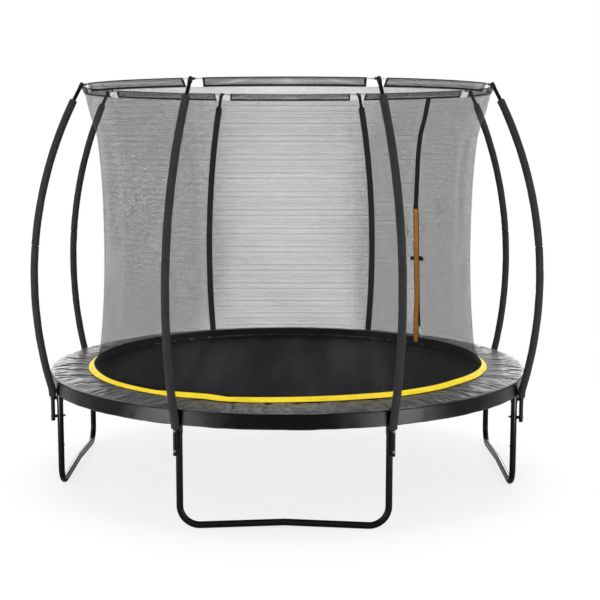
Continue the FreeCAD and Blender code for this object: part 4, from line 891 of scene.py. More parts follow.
class TRAMPOLINE_OT_foam(Step, bpy.types.Operator):
    """Make the foam sleeves on the poles"""

    bl_idname = "trampoline.foam"
    bl_label = "Foam sleeves"

    def execute(self, context):
        scene = context.scene
        sizes = scene.trampoline_poles
        sleeves = [
            ("lower", sizes.foam_foot, sizes.splice - SPLICE_GAP, LOWER_BORE, 3),
            ("upper", sizes.splice + SPLICE_GAP, sizes.foam_head, UPPER_BORE, 7),
        ]
        for number, angle in enumerate(POST_ANGLES):
            for part, low, high, bore, seed in sleeves:
                made = foam_sleeve(f"foam_{part}_{number + 1}", sizes, low, high, bore, angle,
                                   100 * number + seed)
                dress(made, scene, "foam_cover")
                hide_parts(f"foam_sleeves_{part}")
        return {"FINISHED"}


# Safety pad
# Where the pad's inner edge and the band lie off their level: degrees from the front, millimetres
UNEVEN = np.array([
    (-75, 0), (-58, -4), (-36, -4), (-25, 4), (-20, 5), (-15, -2), (-8, 1), (-2, 4), (7, 7),
    (21, 8), (31, 4), (44, 5), (52, 9), (60, 7), (80, 0),
])


def from_front(angle):
    """Degrees from the camera's side, from -180 to 180."""
    return (np.degrees(angle) + 90 + 180) % 360 - 180


def uneven(angle):
    """Rise of the pad's inner edge in a direction."""
    return np.interp(from_front(angle), UNEVEN[:, 0], UNEVEN[:, 1]) / 1000


# The pucker in the pad's outer edge: degrees from the front, half width in degrees and depth
PUCKER = (-15.5, 2.6, 0.007)


def rim_wave(place, angle, outer, seed):
    """Rise of the pad's outer edge along a section, with the pucker in its front section."""
    middle, spread, depth = PUCKER
    pucker = np.exp(-((from_front(place / outer + angle) - middle) / spread) ** 2)
    return 0.0018 * swell(place, 0.0, seed + 3, longest=0.3) - depth * pucker


# Half the gap between two sections
PAD_GAP = 0.00055


def pad_reach(sizes):
    """Half the length of a section along its outer edge."""
    return STEP / 2 * sizes.outer - PAD_GAP


# The cover's simulation: its grid, frames, first unevenness and the most that a wrinkle rises
COVER_CELL = 0.006
COVER_FRAMES = 20
COVER_START = 0.0004
COVER_CAP = 0.006
COVER_SEEDS = range(11, 15)
CLOTH_SETTINGS = {
    "vertex_group_mass": "rim", "quality": 5, "mass": 0.4, "use_pressure": True,
    "uniform_pressure_force": 4.0, "shrink_min": -0.013, "tension_stiffness": 15.0,
    "compression_stiffness": 15.0, "shear_stiffness": 7.5, "bending_stiffness": 7.0,
    "bending_damping": 2.0, "tension_damping": 10.0, "compression_damping": 10.0,
    "shear_damping": 10.0,
}


def blown_cover(seed, long, wide):
    """Wrinkles of a cover over its length and width: cloth held at its rim and blown up."""
    columns, rows = round(long / COVER_CELL) + 1, round(wide / COVER_CELL) + 1
    along, across = np.meshgrid(np.linspace(0, long, columns), np.linspace(0, wide, rows))
    random = np.random.default_rng(seed)
    count, density = 50, 60
    waves = zip(random.normal(0, density, count), random.normal(0, density, count),
                random.uniform(0, 6.3, count))
    start = sum(np.sin(along * down + across * over + phase) for down, over, phase in waves)
    start *= COVER_START / start.std()
    faces, _ = grid_faces(rows, columns)
    sheet = piece("cover_cloth", np.stack([along, across, start], axis=-1), faces)
    rim = np.ones(along.shape, bool)
    rim[2:-2, 2:-2] = False
    sheet.vertex_groups.new(name="rim").add(np.flatnonzero(rim).tolist(), 1.0, "REPLACE")
    settings = sheet.modifiers.new("blown", "CLOTH").settings
    for label, content in CLOTH_SETTINGS.items():
        setattr(settings, label, content)
    settings.effector_weights.gravity = 0.0
    for moment in range(1, COVER_FRAMES + 1):
        bpy.context.scene.frame_set(moment)
    blown = sheet.evaluated_get(bpy.context.evaluated_depsgraph_get())
    points = np.empty(len(sheet.data.vertices) * 3)
    blown.data.vertices.foreach_get("co", points)
    bpy.data.objects.remove(sheet)
    bpy.context.scene.frame_set(1)
    rise = points.reshape(rows, columns, 3)[..., 2]
    return np.clip(rise - rise.mean(axis=1, keepdims=True), -COVER_CAP, COVER_CAP)


def looked_up(field, row, column):
    """Values of a field at places between its points, counted in rows and columns."""
    row = np.clip(row, 0, field.shape[0] - 1.001)
    column = np.clip(column, 0, field.shape[1] - 1.001)
    top, left = row.astype(int), column.astype(int)
    down, along = row - top, column - left
    return ((field[top, left] * (1 - along) + field[top, left + 1] * along) * (1 - down)
            + (field[top + 1, left] * (1 - along) + field[top + 1, left + 1] * along) * down)


# Surface of a pad section: columns, rows over its top, rounding of its edges and of its ends
PAD_COLUMNS = 240
PAD_ROWS = 46
PAD_SHOULDER = 0.011
PAD_END = 0.03
PAD_END_SIDE = 0.45
# Distance from an edge or end over which the folds begin, and their share under a blown cover
PAD_CALM = 0.02
FOLD_SHARE = 0.45


def rounded(share):
    """Quarter circle that rises from 0 to 1 while the share does."""
    return np.sqrt(np.clip(1 - (1 - np.clip(share, 0, 1)) ** 2, 0, 1))


def pad_section(name, sizes, angle, seed, cover=None):
    """Padded section: crowned, drawn in at its ends, with folds across its width."""
    half = pad_reach(sizes) / sizes.outer
    width, centre = sizes.outer - sizes.inner, (sizes.inner + sizes.outer) / 2
    turn = np.linspace(-half, half, PAD_COLUMNS)[None, :]
    to_end = (half - np.abs(turn)) * sizes.outer
    share = np.linspace(0, 1, PAD_ROWS)[:, None]
    radius = sizes.inner + width * (0.5 - 0.5 * np.cos(np.pi * share))
    edge = np.minimum(radius - sizes.inner, sizes.outer - radius)
    shoulder = rounded(edge / PAD_SHOULDER)
    end = PAD_END_SIDE + (1 - PAD_END_SIDE) * rounded(to_end / PAD_END)
    middle = 1 - ((radius - centre) / (width / 2)) ** 2
    place = turn * sizes.outer
    folds = creases(place, radius, seed, count=46, reach=(0.03, 0.12), width=(0.004, 0.014),
                    slant=0.5)
    folds += 0.6 * creases(radius, place, seed + 9, count=9, reach=(0.06, 0.25),
                           width=(0.006, 0.016), slant=0.1)
    relief = sizes.fold * (0.35 * swell(place, radius, seed, longest=0.5)
                           - 0.6 * np.minimum(folds, 1.7))
    if cover is not None:
        rows, columns = cover.shape
        row = np.broadcast_to((radius - sizes.inner) / width * (rows - 1), relief.shape)
        column = np.broadcast_to((turn / half + 1) / 2 * (columns - 1), relief.shape)
        relief = FOLD_SHARE * relief + looked_up(cover, row, column)
    relief = relief * np.clip(edge / PAD_CALM, 0, 1) * np.clip(to_end / PAD_CALM, 0.1, 1)
    half_side = sizes.side / 2
    middle_height = sizes.base + half_side
    bulge = (np.maximum(uneven(turn + angle), 0) * (1 - share)
             + rim_wave(place, angle, sizes.outer, seed) * share)
    top = (middle_height + half_side * shoulder * end + (sizes.crown * middle + relief) * end
           + bulge * shoulder)
    low = np.broadcast_to(middle_height - half_side * shoulder, top.shape)
    inner_rows = slice(1, -1)
    grid = np.concatenate([around(radius, turn, top),
                           around(radius[::-1], turn, low[::-1])[inner_rows]])
    rows = len(grid)
    faces, places = grid_faces(rows, PAD_COLUMNS, wrap_rows=True)
    caps = []
    for column in (0, PAD_COLUMNS - 1):
        ring = [row * PAD_COLUMNS + column for row in range(rows)]
        caps.append(ring if column else ring[::-1])
    spots = np.concatenate([radius[:, 0], radius[::-1][inner_rows][:, 0], radius[:1, 0]])
    flat = np.stack([place[0][places[..., 1]], spots[places[..., 0]]], axis=-1)
    flat = flat.reshape(-1, 2).tolist()
    flat += [(float(place[0][ring[0] % PAD_COLUMNS]), float(spots[index // PAD_COLUMNS]))
             for ring in caps for index in ring]
    return piece(name, turned(grid, angle), faces.tolist() + caps, flat)


# Corners of a stitch's six faces, and how far it narrows outwards
STITCH_FACES = [(0, 1, 3, 2), (4, 6, 7, 5), (0, 4, 5, 1), (2, 3, 7, 6), (0, 2, 6, 4), (1, 5, 7, 3)]
STITCH_TAPER = 0.62


def stitches(name, places, outwards, ahead, size):
    """Row of short raised stitches, of a length, height and width, at the given places."""
    points, faces = [], []
    for spot, out, on in zip(places, outwards, ahead):
        side = np.cross(out, on)
        start = len(points)
        for along, up, across in product((-1, 1), repeat=3):
            taper = STITCH_TAPER if up > 0 else 1.0
            points.append(spot + on * along * size[0] / 2 * taper + out * up * size[1] / 2
                          + side * across * size[2] / 2 * taper)
        faces += [[start + corner for corner in face] for face in STITCH_FACES]
    return piece(name, points, faces)


class TRAMPOLINE_OT_pad(Step, bpy.types.Operator):
    """Make the eight padded sections and their stitches"""

    bl_idname = "trampoline.pad"
    bl_label = "Safety pad"

    def execute(self, context):
        scene = context.scene
        sizes = scene.trampoline_pad
        covers = [None] * len(COVER_SEEDS)
        covers = [blown_cover(seed, 2 * pad_reach(sizes), sizes.outer - sizes.inner)
                  for seed in COVER_SEEDS]
        covers += [None if cover is None else cover[:, ::-1] for cover in covers]
        for number, angle in enumerate(PANEL_ANGLES):
            seed = 300 + 17 * number
            made = pad_section(f"pad_section_{number + 1}", sizes, angle, seed, covers[number])
            dress(made, scene, "pad_cover")
            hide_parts("safety_pad")
            self.make_stitches(scene, number, angle, seed)
        return {"FINISHED"}

    def make_stitches(self, scene, number, angle, seed):
        """Row of stitches along a section's outer edge, a little out of line."""
        sizes = scene.trampoline_pad
        from_end, inset, height_share, upward = 0.012, 0.0022, 0.84, 0.6
        half = STEP / 2 - from_end
        turn = np.arange(-half, half, sizes.stitch / sizes.outer) + angle
        out = around(1.0, turn, upward)
        out /= np.linalg.norm(out, axis=1, keepdims=True)
        random = np.random.default_rng(60 + number)
        on = around(1.0, turn + np.pi / 2, 0.0)
        on = on + np.array([0, 0, 1]) * random.uniform(-0.3, 0.3, (len(turn), 1))
        on /= np.linalg.norm(on, axis=1, keepdims=True)
        waver = random.uniform(-0.0014, 0.0014, len(turn))
        waver += rim_wave((turn - angle) * sizes.outer, angle, sizes.outer, seed)
        row = around(sizes.outer - inset, turn, sizes.base + sizes.side * height_share + waver)
        sewn = stitches(f"pad_stitches_{number + 1}", row, out, on, (0.0075, 0.003, 0.003))
        dress(sewn, scene, "thread")


class TRAMPOLINE_OT_skirt(Step, bpy.types.Operator):
    """Make the skirt below the pad and the straps that hold the pad down"""

    bl_idname = "trampoline.skirt"
    bl_label = "Skirt and ties"

    def execute(self, context):
        scene = context.scene
        for number, angle in enumerate(PANEL_ANGLES):
            self.make_skirt(scene, number, angle)
        self.make_ties(scene)
        return {"FINISHED"}

    def make_skirt(self, scene, number, angle):
        """One length of the skirt: it hangs straight by the poles and swings out between them."""
        sizes = scene.trampoline_pad
        half_gap, clearance, held_by_pole, thickness = 0.0006, 0.0010, 0.12, 0.0011
        fold_depth, foot_rise, stitch_lift = 0.0012, 0.0018, 0.0008
        top = sizes.base + sizes.side / 2
        half = STEP / 2 - half_gap
        turn = np.linspace(-half, half, 160)[None, :]
        height = np.linspace(top, sizes.skirt_foot, 22)[:, None]
        drop = (top - height) / (top - sizes.skirt_foot)
        place = turn * sizes.outer
        open_side = np.clip((half - np.abs(turn)) / held_by_pole, 0, 1)
        wave = swell(place, drop, 700 + number, longest=0.42)
        folds = creases(place, height, 720 + number, count=16, reach=(0.02, 0.07),
                        width=(0.004, 0.012), slant=0.6)
        radius = (sizes.outer + clearance + open_side * drop
                  * (sizes.skirt_wave * (0.5 + 0.5 * wave) + fold_depth * folds))
        lift = foot_rise * swell(place, drop, 740 + number, longest=0.4) * drop
        grid = around(radius, turn + angle, height + lift)
        made = cloth(f"skirt_{number + 1}", grid, thickness)
        dress(made, scene, "skirt_cloth")
        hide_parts("pad_skirt")
        sewn_columns = slice(4, -4, 2)
        out = around(1.0, turn[0, sewn_columns] + angle, 0.0)
        row = grid[-2, sewn_columns] + out * stitch_lift
        sewn = stitches(f"skirt_stitches_{number + 1}", row, out, np.cross(out, (0, 0, -1.0)),
                        (0.006, 0.0014, 0.0018))
        dress(sewn, scene, "hem_thread")

    def make_ties(self, scene):
        """Straps from the pad's underside down round the rail and back."""
        height, top = scene.trampoline_mat.height, 0.6638
        thickness, width = 0.0014, 0.02
        loop = RAIL_TUBE / 2 + 0.0011
        apart, apart_low = thickness, thickness + 0.0002
        turn = np.radians(np.linspace(98, 442, 40))
        line = np.array([(RAIL_RING - apart, top), (RAIL_RING - apart_low, height + loop + PLAY)]
                        + list(zip(RAIL_RING + loop * np.cos(turn), height + loop * np.sin(turn)))
                        + [(RAIL_RING + apart_low, height + loop + PLAY), (RAIL_RING + apart, top)])
        for number, angle in enumerate(TIE_ANGLES):
            made = strap(f"pad_tie_{number + 1}", around(line[:, 0], angle, line[:, 1]),
                         (-np.sin(angle), np.cos(angle), 0), width, thickness)
            dress(made, scene, "tie_webbing")
            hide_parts("pad_ties")


# Jumping mat and springs
class TRAMPOLINE_OT_mat(Step, bpy.types.Operator):
    """Make the jumping mat, its border and its webbing loops"""

    bl_idname = "trampoline.mat"
    bl_label = "Jumping mat"

    def execute(self, context):
        scene = context.scene
        sizes = scene.trampoline_mat
        # A square grid drawn out to a disc, so that the weave runs straight
        across = np.linspace(-1, 1, 120)
        x, y = np.meshgrid(across, across)
        disc_x, disc_y = x * np.sqrt(1 - y ** 2 / 2), y * np.sqrt(1 - x ** 2 / 2)
        grid = np.stack([disc_x * sizes.radius, disc_y * sizes.radius,
                         np.full(x.shape, sizes.height)], axis=-1)
        made = cloth("mat", grid, sizes.thickness)
        corners = np.empty(len(made.data.loops), int)
        made.data.loops.foreach_get("vertex_index", corners)
        points = np.concatenate([grid.reshape(-1, 3)] * 2)[corners, :2]
        made.data.uv_layers["cloth"].data.foreach_set("uv", points.astype(np.float32).ravel())
        dress(made, scene, "mat_cloth", "mat")
        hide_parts("jumping_mat")
        self.make_borders(scene)
        self.make_loops(scene)
        return {"FINISHED"}

    def make_borders(self, scene):
        """Webbing round the mat's edge, on both faces."""
        sizes = scene.trampoline_mat
        from_edge, lift, thickness = 0.001, 0.0008, 0.0012
        turn = np.linspace(0, 2 * np.pi, 360, endpoint=False)[None, :]
        radius = np.linspace(sizes.radius - from_edge, sizes.radius - sizes.border, 7)[:, None]
        for side, way in (("top", 1), ("underside", -1)):
            height = sizes.height + way * (sizes.thickness / 2 + lift)
            border = cloth(f"mat_border_{side}", around(radius, turn, height), thickness,
                           closed=True)
            dress(border, scene, "loop_webbing", "mat")

    def make_loops(self, scene):
        """Webbing from the mat's edge round each ring's bar and back."""
        sizes = scene.trampoline_mat
        half_cloth, thickness = 0.0009, 0.0016
        reach = sizes.ring_wire / 2 + PLAY + half_cloth
        turn = np.radians(np.linspace(100, -100, 14))
        arc = list(zip(sizes.ring_bar + reach * np.cos(turn), reach * np.sin(turn)))
        # The part sewn to the mat: distance from the mat's edge and height
        sewn = [(-0.034, 0.0032), (-0.004, 0.0034), (0.004, 0.0036)]
        start = [(sizes.radius + away, rise) for away, rise in sewn]
        line = np.array(start + arc + [(spot, -rise) for spot, rise in start[::-1]])
        for number, angle in enumerate(SPRING_ANGLES):
            made = strap(f"mat_loop_{number + 1}",
                         around(line[:, 0], angle, sizes.height + line[:, 1]),
                         (-np.sin(angle), np.cos(angle), 0), sizes.loop_width, thickness)
            dress(made, scene, "loop_webbing", "mat")
            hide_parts("mat_loops")


class TRAMPOLINE_OT_springs(Step, bpy.types.Operator):
    """Make the coil springs between the mat's rings and the rail"""

    bl_idname = "trampoline.springs"
    bl_label = "Springs"

    def execute(self, context):
        scene = context.scene
        sizes = scene.trampoline_mat
        radius = (sizes.spring_coil - sizes.spring_wire) / 2
        rail = RAIL_RING - RAIL_TUBE / 2
        tip = sizes.ring_point
        to_rail, points_a_turn = 0.001, 12
        # Wire between a hook and the coil: distance from the coil's end and height
        lead_in = [(0.012, 0.0022), (0.006, 0.0045)]
        lead_out = [(0.006, 0.0045), (0.012, 0.001), (0.016, 0)]
        middle = (tip + rail) / 2 + to_rail
        start, end = middle - sizes.spring_body / 2, middle + sizes.spring_body / 2
        hook = sizes.ring_wire / 2 + sizes.spring_wire / 2 + PLAY
        centre = tip - sizes.ring_wire / 2
        turn = np.radians(np.linspace(-150, -360, 9))
        line = [(centre + hook * np.cos(bend), 0, hook * np.sin(bend)) for bend in turn]
        line += [(start - away, 0, rise) for away, rise in lead_in]
        coil = np.linspace(0, 1, sizes.turns * points_a_turn + 1)
        wind = np.pi / 2 + coil * sizes.turns * 2 * np.pi
        line += list(zip(start + coil * (end - start), radius * np.cos(wind),
                         radius * np.sin(wind)))
        line += [(end + away, 0, rise) for away, rise in lead_out] + [(sizes.spring_end, 0, 0)]
        line = np.array(line) + (0, 0, sizes.height)
        for number, angle in enumerate(SPRING_ANGLES):
            made = wire(f"spring_{number + 1}", turned(line, angle), sizes.spring_wire / 2)
            dress(made, scene, "zinc", None)
            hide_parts("springs")
            tuple(around(rail, angle, sizes.height))
            tuple(around(tip, angle, sizes.height))
            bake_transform(made)
        return {"FINISHED"}


# Enclosure net
def smooth_levels(height):
    """Corner radius and roundness of the net at heights, on a smooth curve through its levels."""
    heights, shapes = NET_LEVELS[:, 0], NET_LEVELS[:, 1:]
    slopes = np.gradient(shapes, heights, axis=0)
    at = np.clip(np.searchsorted(heights, height, side="right") - 1, 0, len(heights) - 2)
    span = heights[at + 1] - heights[at]
    share = ((height - heights[at]) / span)[..., None]
    pull = slopes[at] * span[..., None]
    next_pull = slopes[at + 1] * span[..., None]
    curve = ((2 * share ** 3 - 3 * share ** 2 + 1) * shapes[at]
             + (share ** 3 - 2 * share ** 2 + share) * pull
             + (3 * share ** 2 - 2 * share ** 3) * shapes[at + 1]
             + (share ** 3 - share ** 2) * next_pull)
    return curve[..., 0], curve[..., 1]


# Angle over which a panel's corner is softened
SOFT_CORNER = np.radians(5)


def panel_line(turn):
    """Distance of a flat panel from the middle as a share of its corner's, softened there."""
    start = STEP / 2 - SOFT_CORNER
    over = np.maximum(turn - start, 0)
    reach = np.cos(STEP / 2) / np.cos(np.minimum(turn, start))
    return reach * (1 + np.tan(start) * (over - over ** 2 / (2 * SOFT_CORNER)))


def net_radius(height, offset):
    """Radius of the net at a height and an angle from the middle of its panel."""
    corner, roundness = smooth_levels(height)
    straight = panel_line(np.abs(offset))
    return corner * ((1 - roundness) * straight + roundness)


def door_radius(height):
    """Radius of the net along the door, which the zip's tapes keep straight."""
    return np.interp(height, NET_LEVELS[:, 0], [
        corner * ((1 - roundness) * np.cos(STEP / 2) / np.cos(DOOR_OFFSET) + roundness)
        for _, corner, roundness in NET_LEVELS])


# Angle to each side of the zip in which the net comes back to its own line
DOOR_PULL = 0.07


def net_panel(name, sizes, low, high, angle):
    """Piece of net between two angles from the middle of its panel."""
    height = np.linspace(NET_LEVELS[0, 0], NET_LEVELS[-1, 0], 90)[:, None]
    offset = np.linspace(low, high, 40)[None, :]
    height, offset = np.broadcast_arrays(height, offset)
    radius = net_radius(height, offset)
    if angle == DOOR_PANEL:
        pull = np.exp(-((offset - DOOR_OFFSET) / DOOR_PULL) ** 2)
        radius = radius + pull * (door_radius(height) - net_radius(height, DOOR_OFFSET))
    return cloth(name, around(radius, offset + angle, height), sizes.thickness)


class TRAMPOLINE_OT_net(Step, bpy.types.Operator):
    """Make the net's panels"""

    bl_idname = "trampoline.net"
    bl_label = "Enclosure net"

    def execute(self, context):
        scene = context.scene
        sizes = scene.trampoline_net
        half_slot, mean_radius = 0.0031, 1.2
        number = 0
        for angle in PANEL_ANGLES:
            spans = [(-STEP / 2, STEP / 2)]
            if angle == DOOR_PANEL:
                spans = [(-STEP / 2, DOOR_OFFSET - half_slot), (DOOR_OFFSET + half_slot, STEP / 2)]
            for low, high in spans:
                number += 1
                made = net_panel(f"net_panel_{number}", sizes, low, high, angle)
                dress(made, scene, "net_cloth")
                wide = (high - low) * mean_radius
                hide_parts("enclosure_net")
        return {"FINISHED"}


class TRAMPOLINE_OT_net_edges(Step, bpy.types.Operator):
    """Make the rod sleeves, the net's hem and the coloured band"""

    bl_idname = "trampoline.net_edges"
    bl_label = "Net edges"

    def execute(self, context):
        scene = context.scene
        self.make_sleeves(scene)
        self.make_hem(scene)
        self.make_band(scene)
        return {"FINISHED"}

    def make_hem(self, scene):
        """Hem below the net, flared and a little rippled at its foot."""
        sizes = scene.trampoline_net
        spread, ripple, ripples, thickness = 0.009, 0.0012, 56, 0.0018
        turn = np.linspace(0, 2 * np.pi, 480, endpoint=False)[None, :]
        top, radius, _ = NET_LEVELS[0]
        height = np.linspace(top, top - sizes.hem_drop, 9)[:, None]
        flare = (top - height) / sizes.hem_drop
        wave = ripple * np.sin(turn * ripples) * flare
        grid = around(radius + spread * flare + wave, turn, height)
        hem = cloth("net_hem_cloth", grid, thickness, closed=True)
        dress(hem, scene, "hem_cloth")
        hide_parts("net_hem")

    def make_band(self, scene):
        """Coloured band over the pad's inner edge, which follows its rise and fall."""
        pad = scene.trampoline_pad
        mean_radius, wander, belly, thickness = 1.27, 0.0022, 0.0025, 0.0024
        turn = np.linspace(0, 2 * np.pi, 480, endpoint=False)[None, :]
        share = np.linspace(0, 1, 13)[:, None]
        lift = uneven(turn)
        slack = np.maximum(-lift, 0)
        radius = pad.band_outer + (pad.band_inner - pad.band_outer + slack) * share
        rise = (pad.band_low + (pad.band_high - pad.band_low) * share + np.maximum(lift, 0)
                - 2 * slack * share)
        wave = (wander * swell(turn * mean_radius, share, 905, longest=0.55)
                * np.sin(np.pi * share) * np.abs(np.sin(turn / 2)))
        grid = around(radius, turn, rise + wave + belly * np.sin(np.pi * share))
        grid = np.transpose(grid, (1, 0, 2))
        grid = np.concatenate([grid, grid[:1]])
        band = cloth("edge_band_cloth", grid, thickness)
        dress(band, scene, "band_cloth")
        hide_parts("edge_band")

    def make_sleeves(self, scene):
        """Mesh folded over each rod and sewn together below it."""
        sizes = scene.trampoline_net
        fold_radius, half_seam, thickness = 0.0056, 0.0019, 0.0009
        inset = sizes.rod_ring - NET_LEVELS[-1, 1]
        drop = sizes.rod_height - NET_LEVELS[-1, 0]
        slant = np.arctan2(inset, drop)
        arc = np.linspace(np.pi - slant, -slant, 13)[:, None]
        over = fold_radius * np.hstack([np.cos(arc), np.sin(arc)])
        down = np.linspace(0, 1, 12)[1:, None]
        inner, outside = [start * (1 - down) + np.array([way * half_seam - inset, -drop]) * down
                          for start, way in ((over[0], -1), (over[-1], 1))]
        line = np.concatenate([inner[::-1], over, outside])
        rise = (line[:, 1] - line[0, 1]) / np.ptp(line[:, 1])
        half = STEP / 2 - (sizes.sleeve_gap + sizes.sleeve_slant * rise) / sizes.rod_ring
        if "sleeve_mesh_finish" not in bpy.data.materials:
            deep = float(steps_along(line, False)[-1])
            sleeve_mesh(scene.trampoline_finishes, deep, float(2 * half.min() * sizes.rod_ring))
        for number, angle in enumerate(PANEL_ANGLES):
            turn = np.linspace(-1, 1, 90)[None, :] * half[:, None] + angle
            grid = around(sizes.rod_ring + line[:, :1], turn, sizes.rod_height + line[:, 1:])
            made = cloth(f"rod_sleeve_{number + 1}", grid, thickness)
            dress(made, scene, "sleeve_mesh")
            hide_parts("net_rod_sleeves")


# Door
# Cloth of the tapes and the seam: how far outside the net it lies, how thick it is and its gaps
TAPE_DEPTH = 0.0020
TAPE_CLOTH = 0.0009
TAPE_GAP = 0.0003


def door_frame():
    """Unit vectors out from the net and across the zip, both level."""
    height = np.array(NET_LEVELS[1, 0])
    tiny = 1e-4
    change = net_radius(height, DOOR_OFFSET + tiny) - net_radius(height, DOOR_OFFSET - tiny)
    lean = np.arctan2(change, 2 * tiny * net_radius(height, DOOR_OFFSET))
    out = np.array([np.cos(DOOR_ANGLE - lean), np.sin(DOOR_ANGLE - lean), 0.0])
    return out, np.array([-out[1], out[0], 0.0])


def door_line(height):
    """Middle of the net's cloth on the zip's line."""
    return around(door_radius(height), DOOR_ANGLE, height)


def zip_line(height):
    """The door's line where the slider runs on it: in one upright plane that points outwards."""
    side = door_frame()[1]
    line = door_line(height)
    start = door_line(np.array(SLIDER_START))
    return line - ((line - start) @ side)[..., None] * side


def door_strip(name, low, high, left, right, depth, thickness, rows=120, wave=None, hang=0.0):
    """Strip of cloth along the door's line, straight down below a height."""
    out, side = door_frame()
    height = np.linspace(low, high, rows)
    centre = zip_line(np.maximum(height, hang))
    centre[:, 2] = height
    across = np.linspace(left, right, 9)
    grid = centre[:, None] + side * across[None, :, None] + out * depth
    if wave is not None:
        grid = grid + wave(height, across)[..., None] * side
    return cloth(name, grid, thickness)


class TRAMPOLINE_OT_door(Step, bpy.types.Operator):
    """Make the zip, the cover behind it, the seam above it and the buckle's straps"""

    bl_idname = "trampoline.door"
    bl_label = "Door"

    def execute(self, context):
        scene = context.scene
        self.make_tapes(scene)
        self.make_teeth(scene)
        self.make_cover(scene)
        self.make_seam(scene)
        self.make_straps(scene)
        return {"FINISHED"}

    def make_tapes(self, scene):
        """Cloth tape on each side of the chain."""
        sizes = scene.trampoline_door
        half = sizes.chain / 2 + TAPE_GAP
        for side, way in (("left", -1), ("right", 1)):
            edges = sorted((way * half, way * (half + sizes.tape)))
            tape = door_strip(f"zip_tape_{side}", sizes.foot, sizes.head, *edges, TAPE_DEPTH,
                              TAPE_CLOTH)
            dress(tape, scene, "hem_cloth")
            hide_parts("zip_tapes")

    def make_teeth(self, scene):
        """Two rows of teeth that mesh along the zip's middle."""
        sizes = scene.trampoline_door
        apart, depth = 0.0012, 0.0015
        out, side = door_frame()
        rows = []
        for way, shift in ((-1, 0.0), (1, 0.5)):
            height = np.arange(sizes.foot + sizes.tooth * (0.5 + shift),
                               sizes.head - sizes.tooth * 0.5, sizes.tooth)
            rows.append(zip_line(height) + side * way * apart + out * depth)
        places = np.concatenate(rows)
        teeth = stitches("zip_teeth", places, np.tile(out, (len(places), 1)),
                         np.tile(side, (len(places), 1)), (0.0034, 0.0026, 0.0024))
        dress(teeth, scene, "plastic")
        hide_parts("zip_chain")

    def make_cover(self, scene):
        """Cloth strip behind the zip, which sways a little along its length."""
        sizes = scene.trampoline_door
        depth, thickness = -0.0036, 0.0014
        waver, sway, turning_height, reach = 0.0022, 0.006, 1.12, 0.38

        def wander(height, across):
            aside = (waver * swell(height, np.zeros(1), 977, longest=0.5)
                     + sway * np.clip((turning_height - height) / reach, -1, 1))
            return np.broadcast_to(aside[:, None], (len(height), len(across)))

        half = sizes.flap / 2
        cover = door_strip("door_cover", sizes.flap_foot, sizes.flap_head, -half, half, depth,
                           thickness, rows=200, wave=wander, hang=sizes.flap_hang)
        dress(cover, scene, "flap_cloth")
        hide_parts("zip_flap")

    def make_seam(self, scene):
        """Seam strip from the zip's head to the net's top."""
        sizes = scene.trampoline_door
        seam = door_strip("door_seam_strip", sizes.head + TAPE_GAP, NET_LEVELS[-1, 0],
                          -sizes.seam / 2, sizes.seam / 2, TAPE_DEPTH, TAPE_CLOTH)
        dress(seam, scene, "hem_cloth")
        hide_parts("door_seam")

    def make_straps(self, scene):
        """Webbing from both ends of the buckle to the net."""
        sizes = scene.trampoline_door
        out, side = door_frame()
        centre = door_line(np.array(sizes.buckle))
        # Half the buckle's length, and how far out a strap lies at the buckle and on the net
        reach, high, low = 0.0344, 0.0206, 0.0027
        steps = [(0.0, high), (0.005, high - 0.002), (0.012, low + 0.004), (0.0165, low + 0.0006),
                 (0.028, low)]
        for node, name, body, way in (("socket_strap", "buckle_strap_left", "frame", -1),
                                      ("plug_strap", "buckle_strap_right", "buckle_plug", 1)):
            line = [centre + side * way * (reach + along) + out * depth for along, depth in steps]
            made = strap(name, line, (0, 0, 1), sizes.strap, 0.0015)
            dress(made, scene, "loop_webbing", body)
            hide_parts(node)


# Stage
def floor_finish():
    """Pale floor, more shaded near the object and almost plain white further out."""
    shader = Shader("floor", (0.93, 0.93, 0.93), 0.9, specular_ior_level=0.1)
    near, out_there, least = 1.6, 4.4, 0.8
    away = shader.node("VectorMath", {"operation": "LENGTH"}, {0: shader.place()}, output=1)
    far = shader.between(away, near, out_there) * (1 - least) + least
    light_path = shader.node("LightPath", output="Is Camera Ray")
    glow = shader.node("Emission", values={"Color": (1, 1, 1, 1), "Strength": 1.0})
    mixed = shader.node("MixShader", values={0: far * light_path, 1: shader.surface, 2: glow})
    shader.feed(roughness=0.85 + shader.noise(180.0, 3.0) * 0.1)
    shader.connect(shader.end.inputs["Surface"], mixed)
    return shader.material


# Name, place, the point it faces, size, power and whether it lights matt surfaces
LAMPS = [
    ("lamp_left", (-5.6, -4.6, 2.4), (0, 0, 1), (0.7, 4.4), 170.0, True),
    ("lamp_right", (5.8, -4.4, 2.4), (0, 0, 1), (0.7, 4.4), 150.0, True),
    ("lamp_above", (0.0, 0.6, 6.5), (0, 0, 1), (5.0, 5.0), 330.0, True),
    ("lamp_behind", (0.5, 6.0, 4.5), (0, 0, 1), (4.0, 2.0), 120.0, True),
    ("floor_left", (-3.3, -3.3, 0.02), (-3.3, -3.3, 9.0), (2.0, 2.3), 640.0, False),
    ("floor_right", (3.1, -3.4, 0.02), (3.1, -3.4, 9.0), (2.0, 2.3), 640.0, False),
    ("rim_left", (-3.4, 6.5, 2.1), (0, 0, 1), (2.0, 1.6), 75.0, True),
    ("rim_right", (3.4, 6.5, 2.1), (0, 0, 1), (2.0, 1.6), 75.0, True),
]


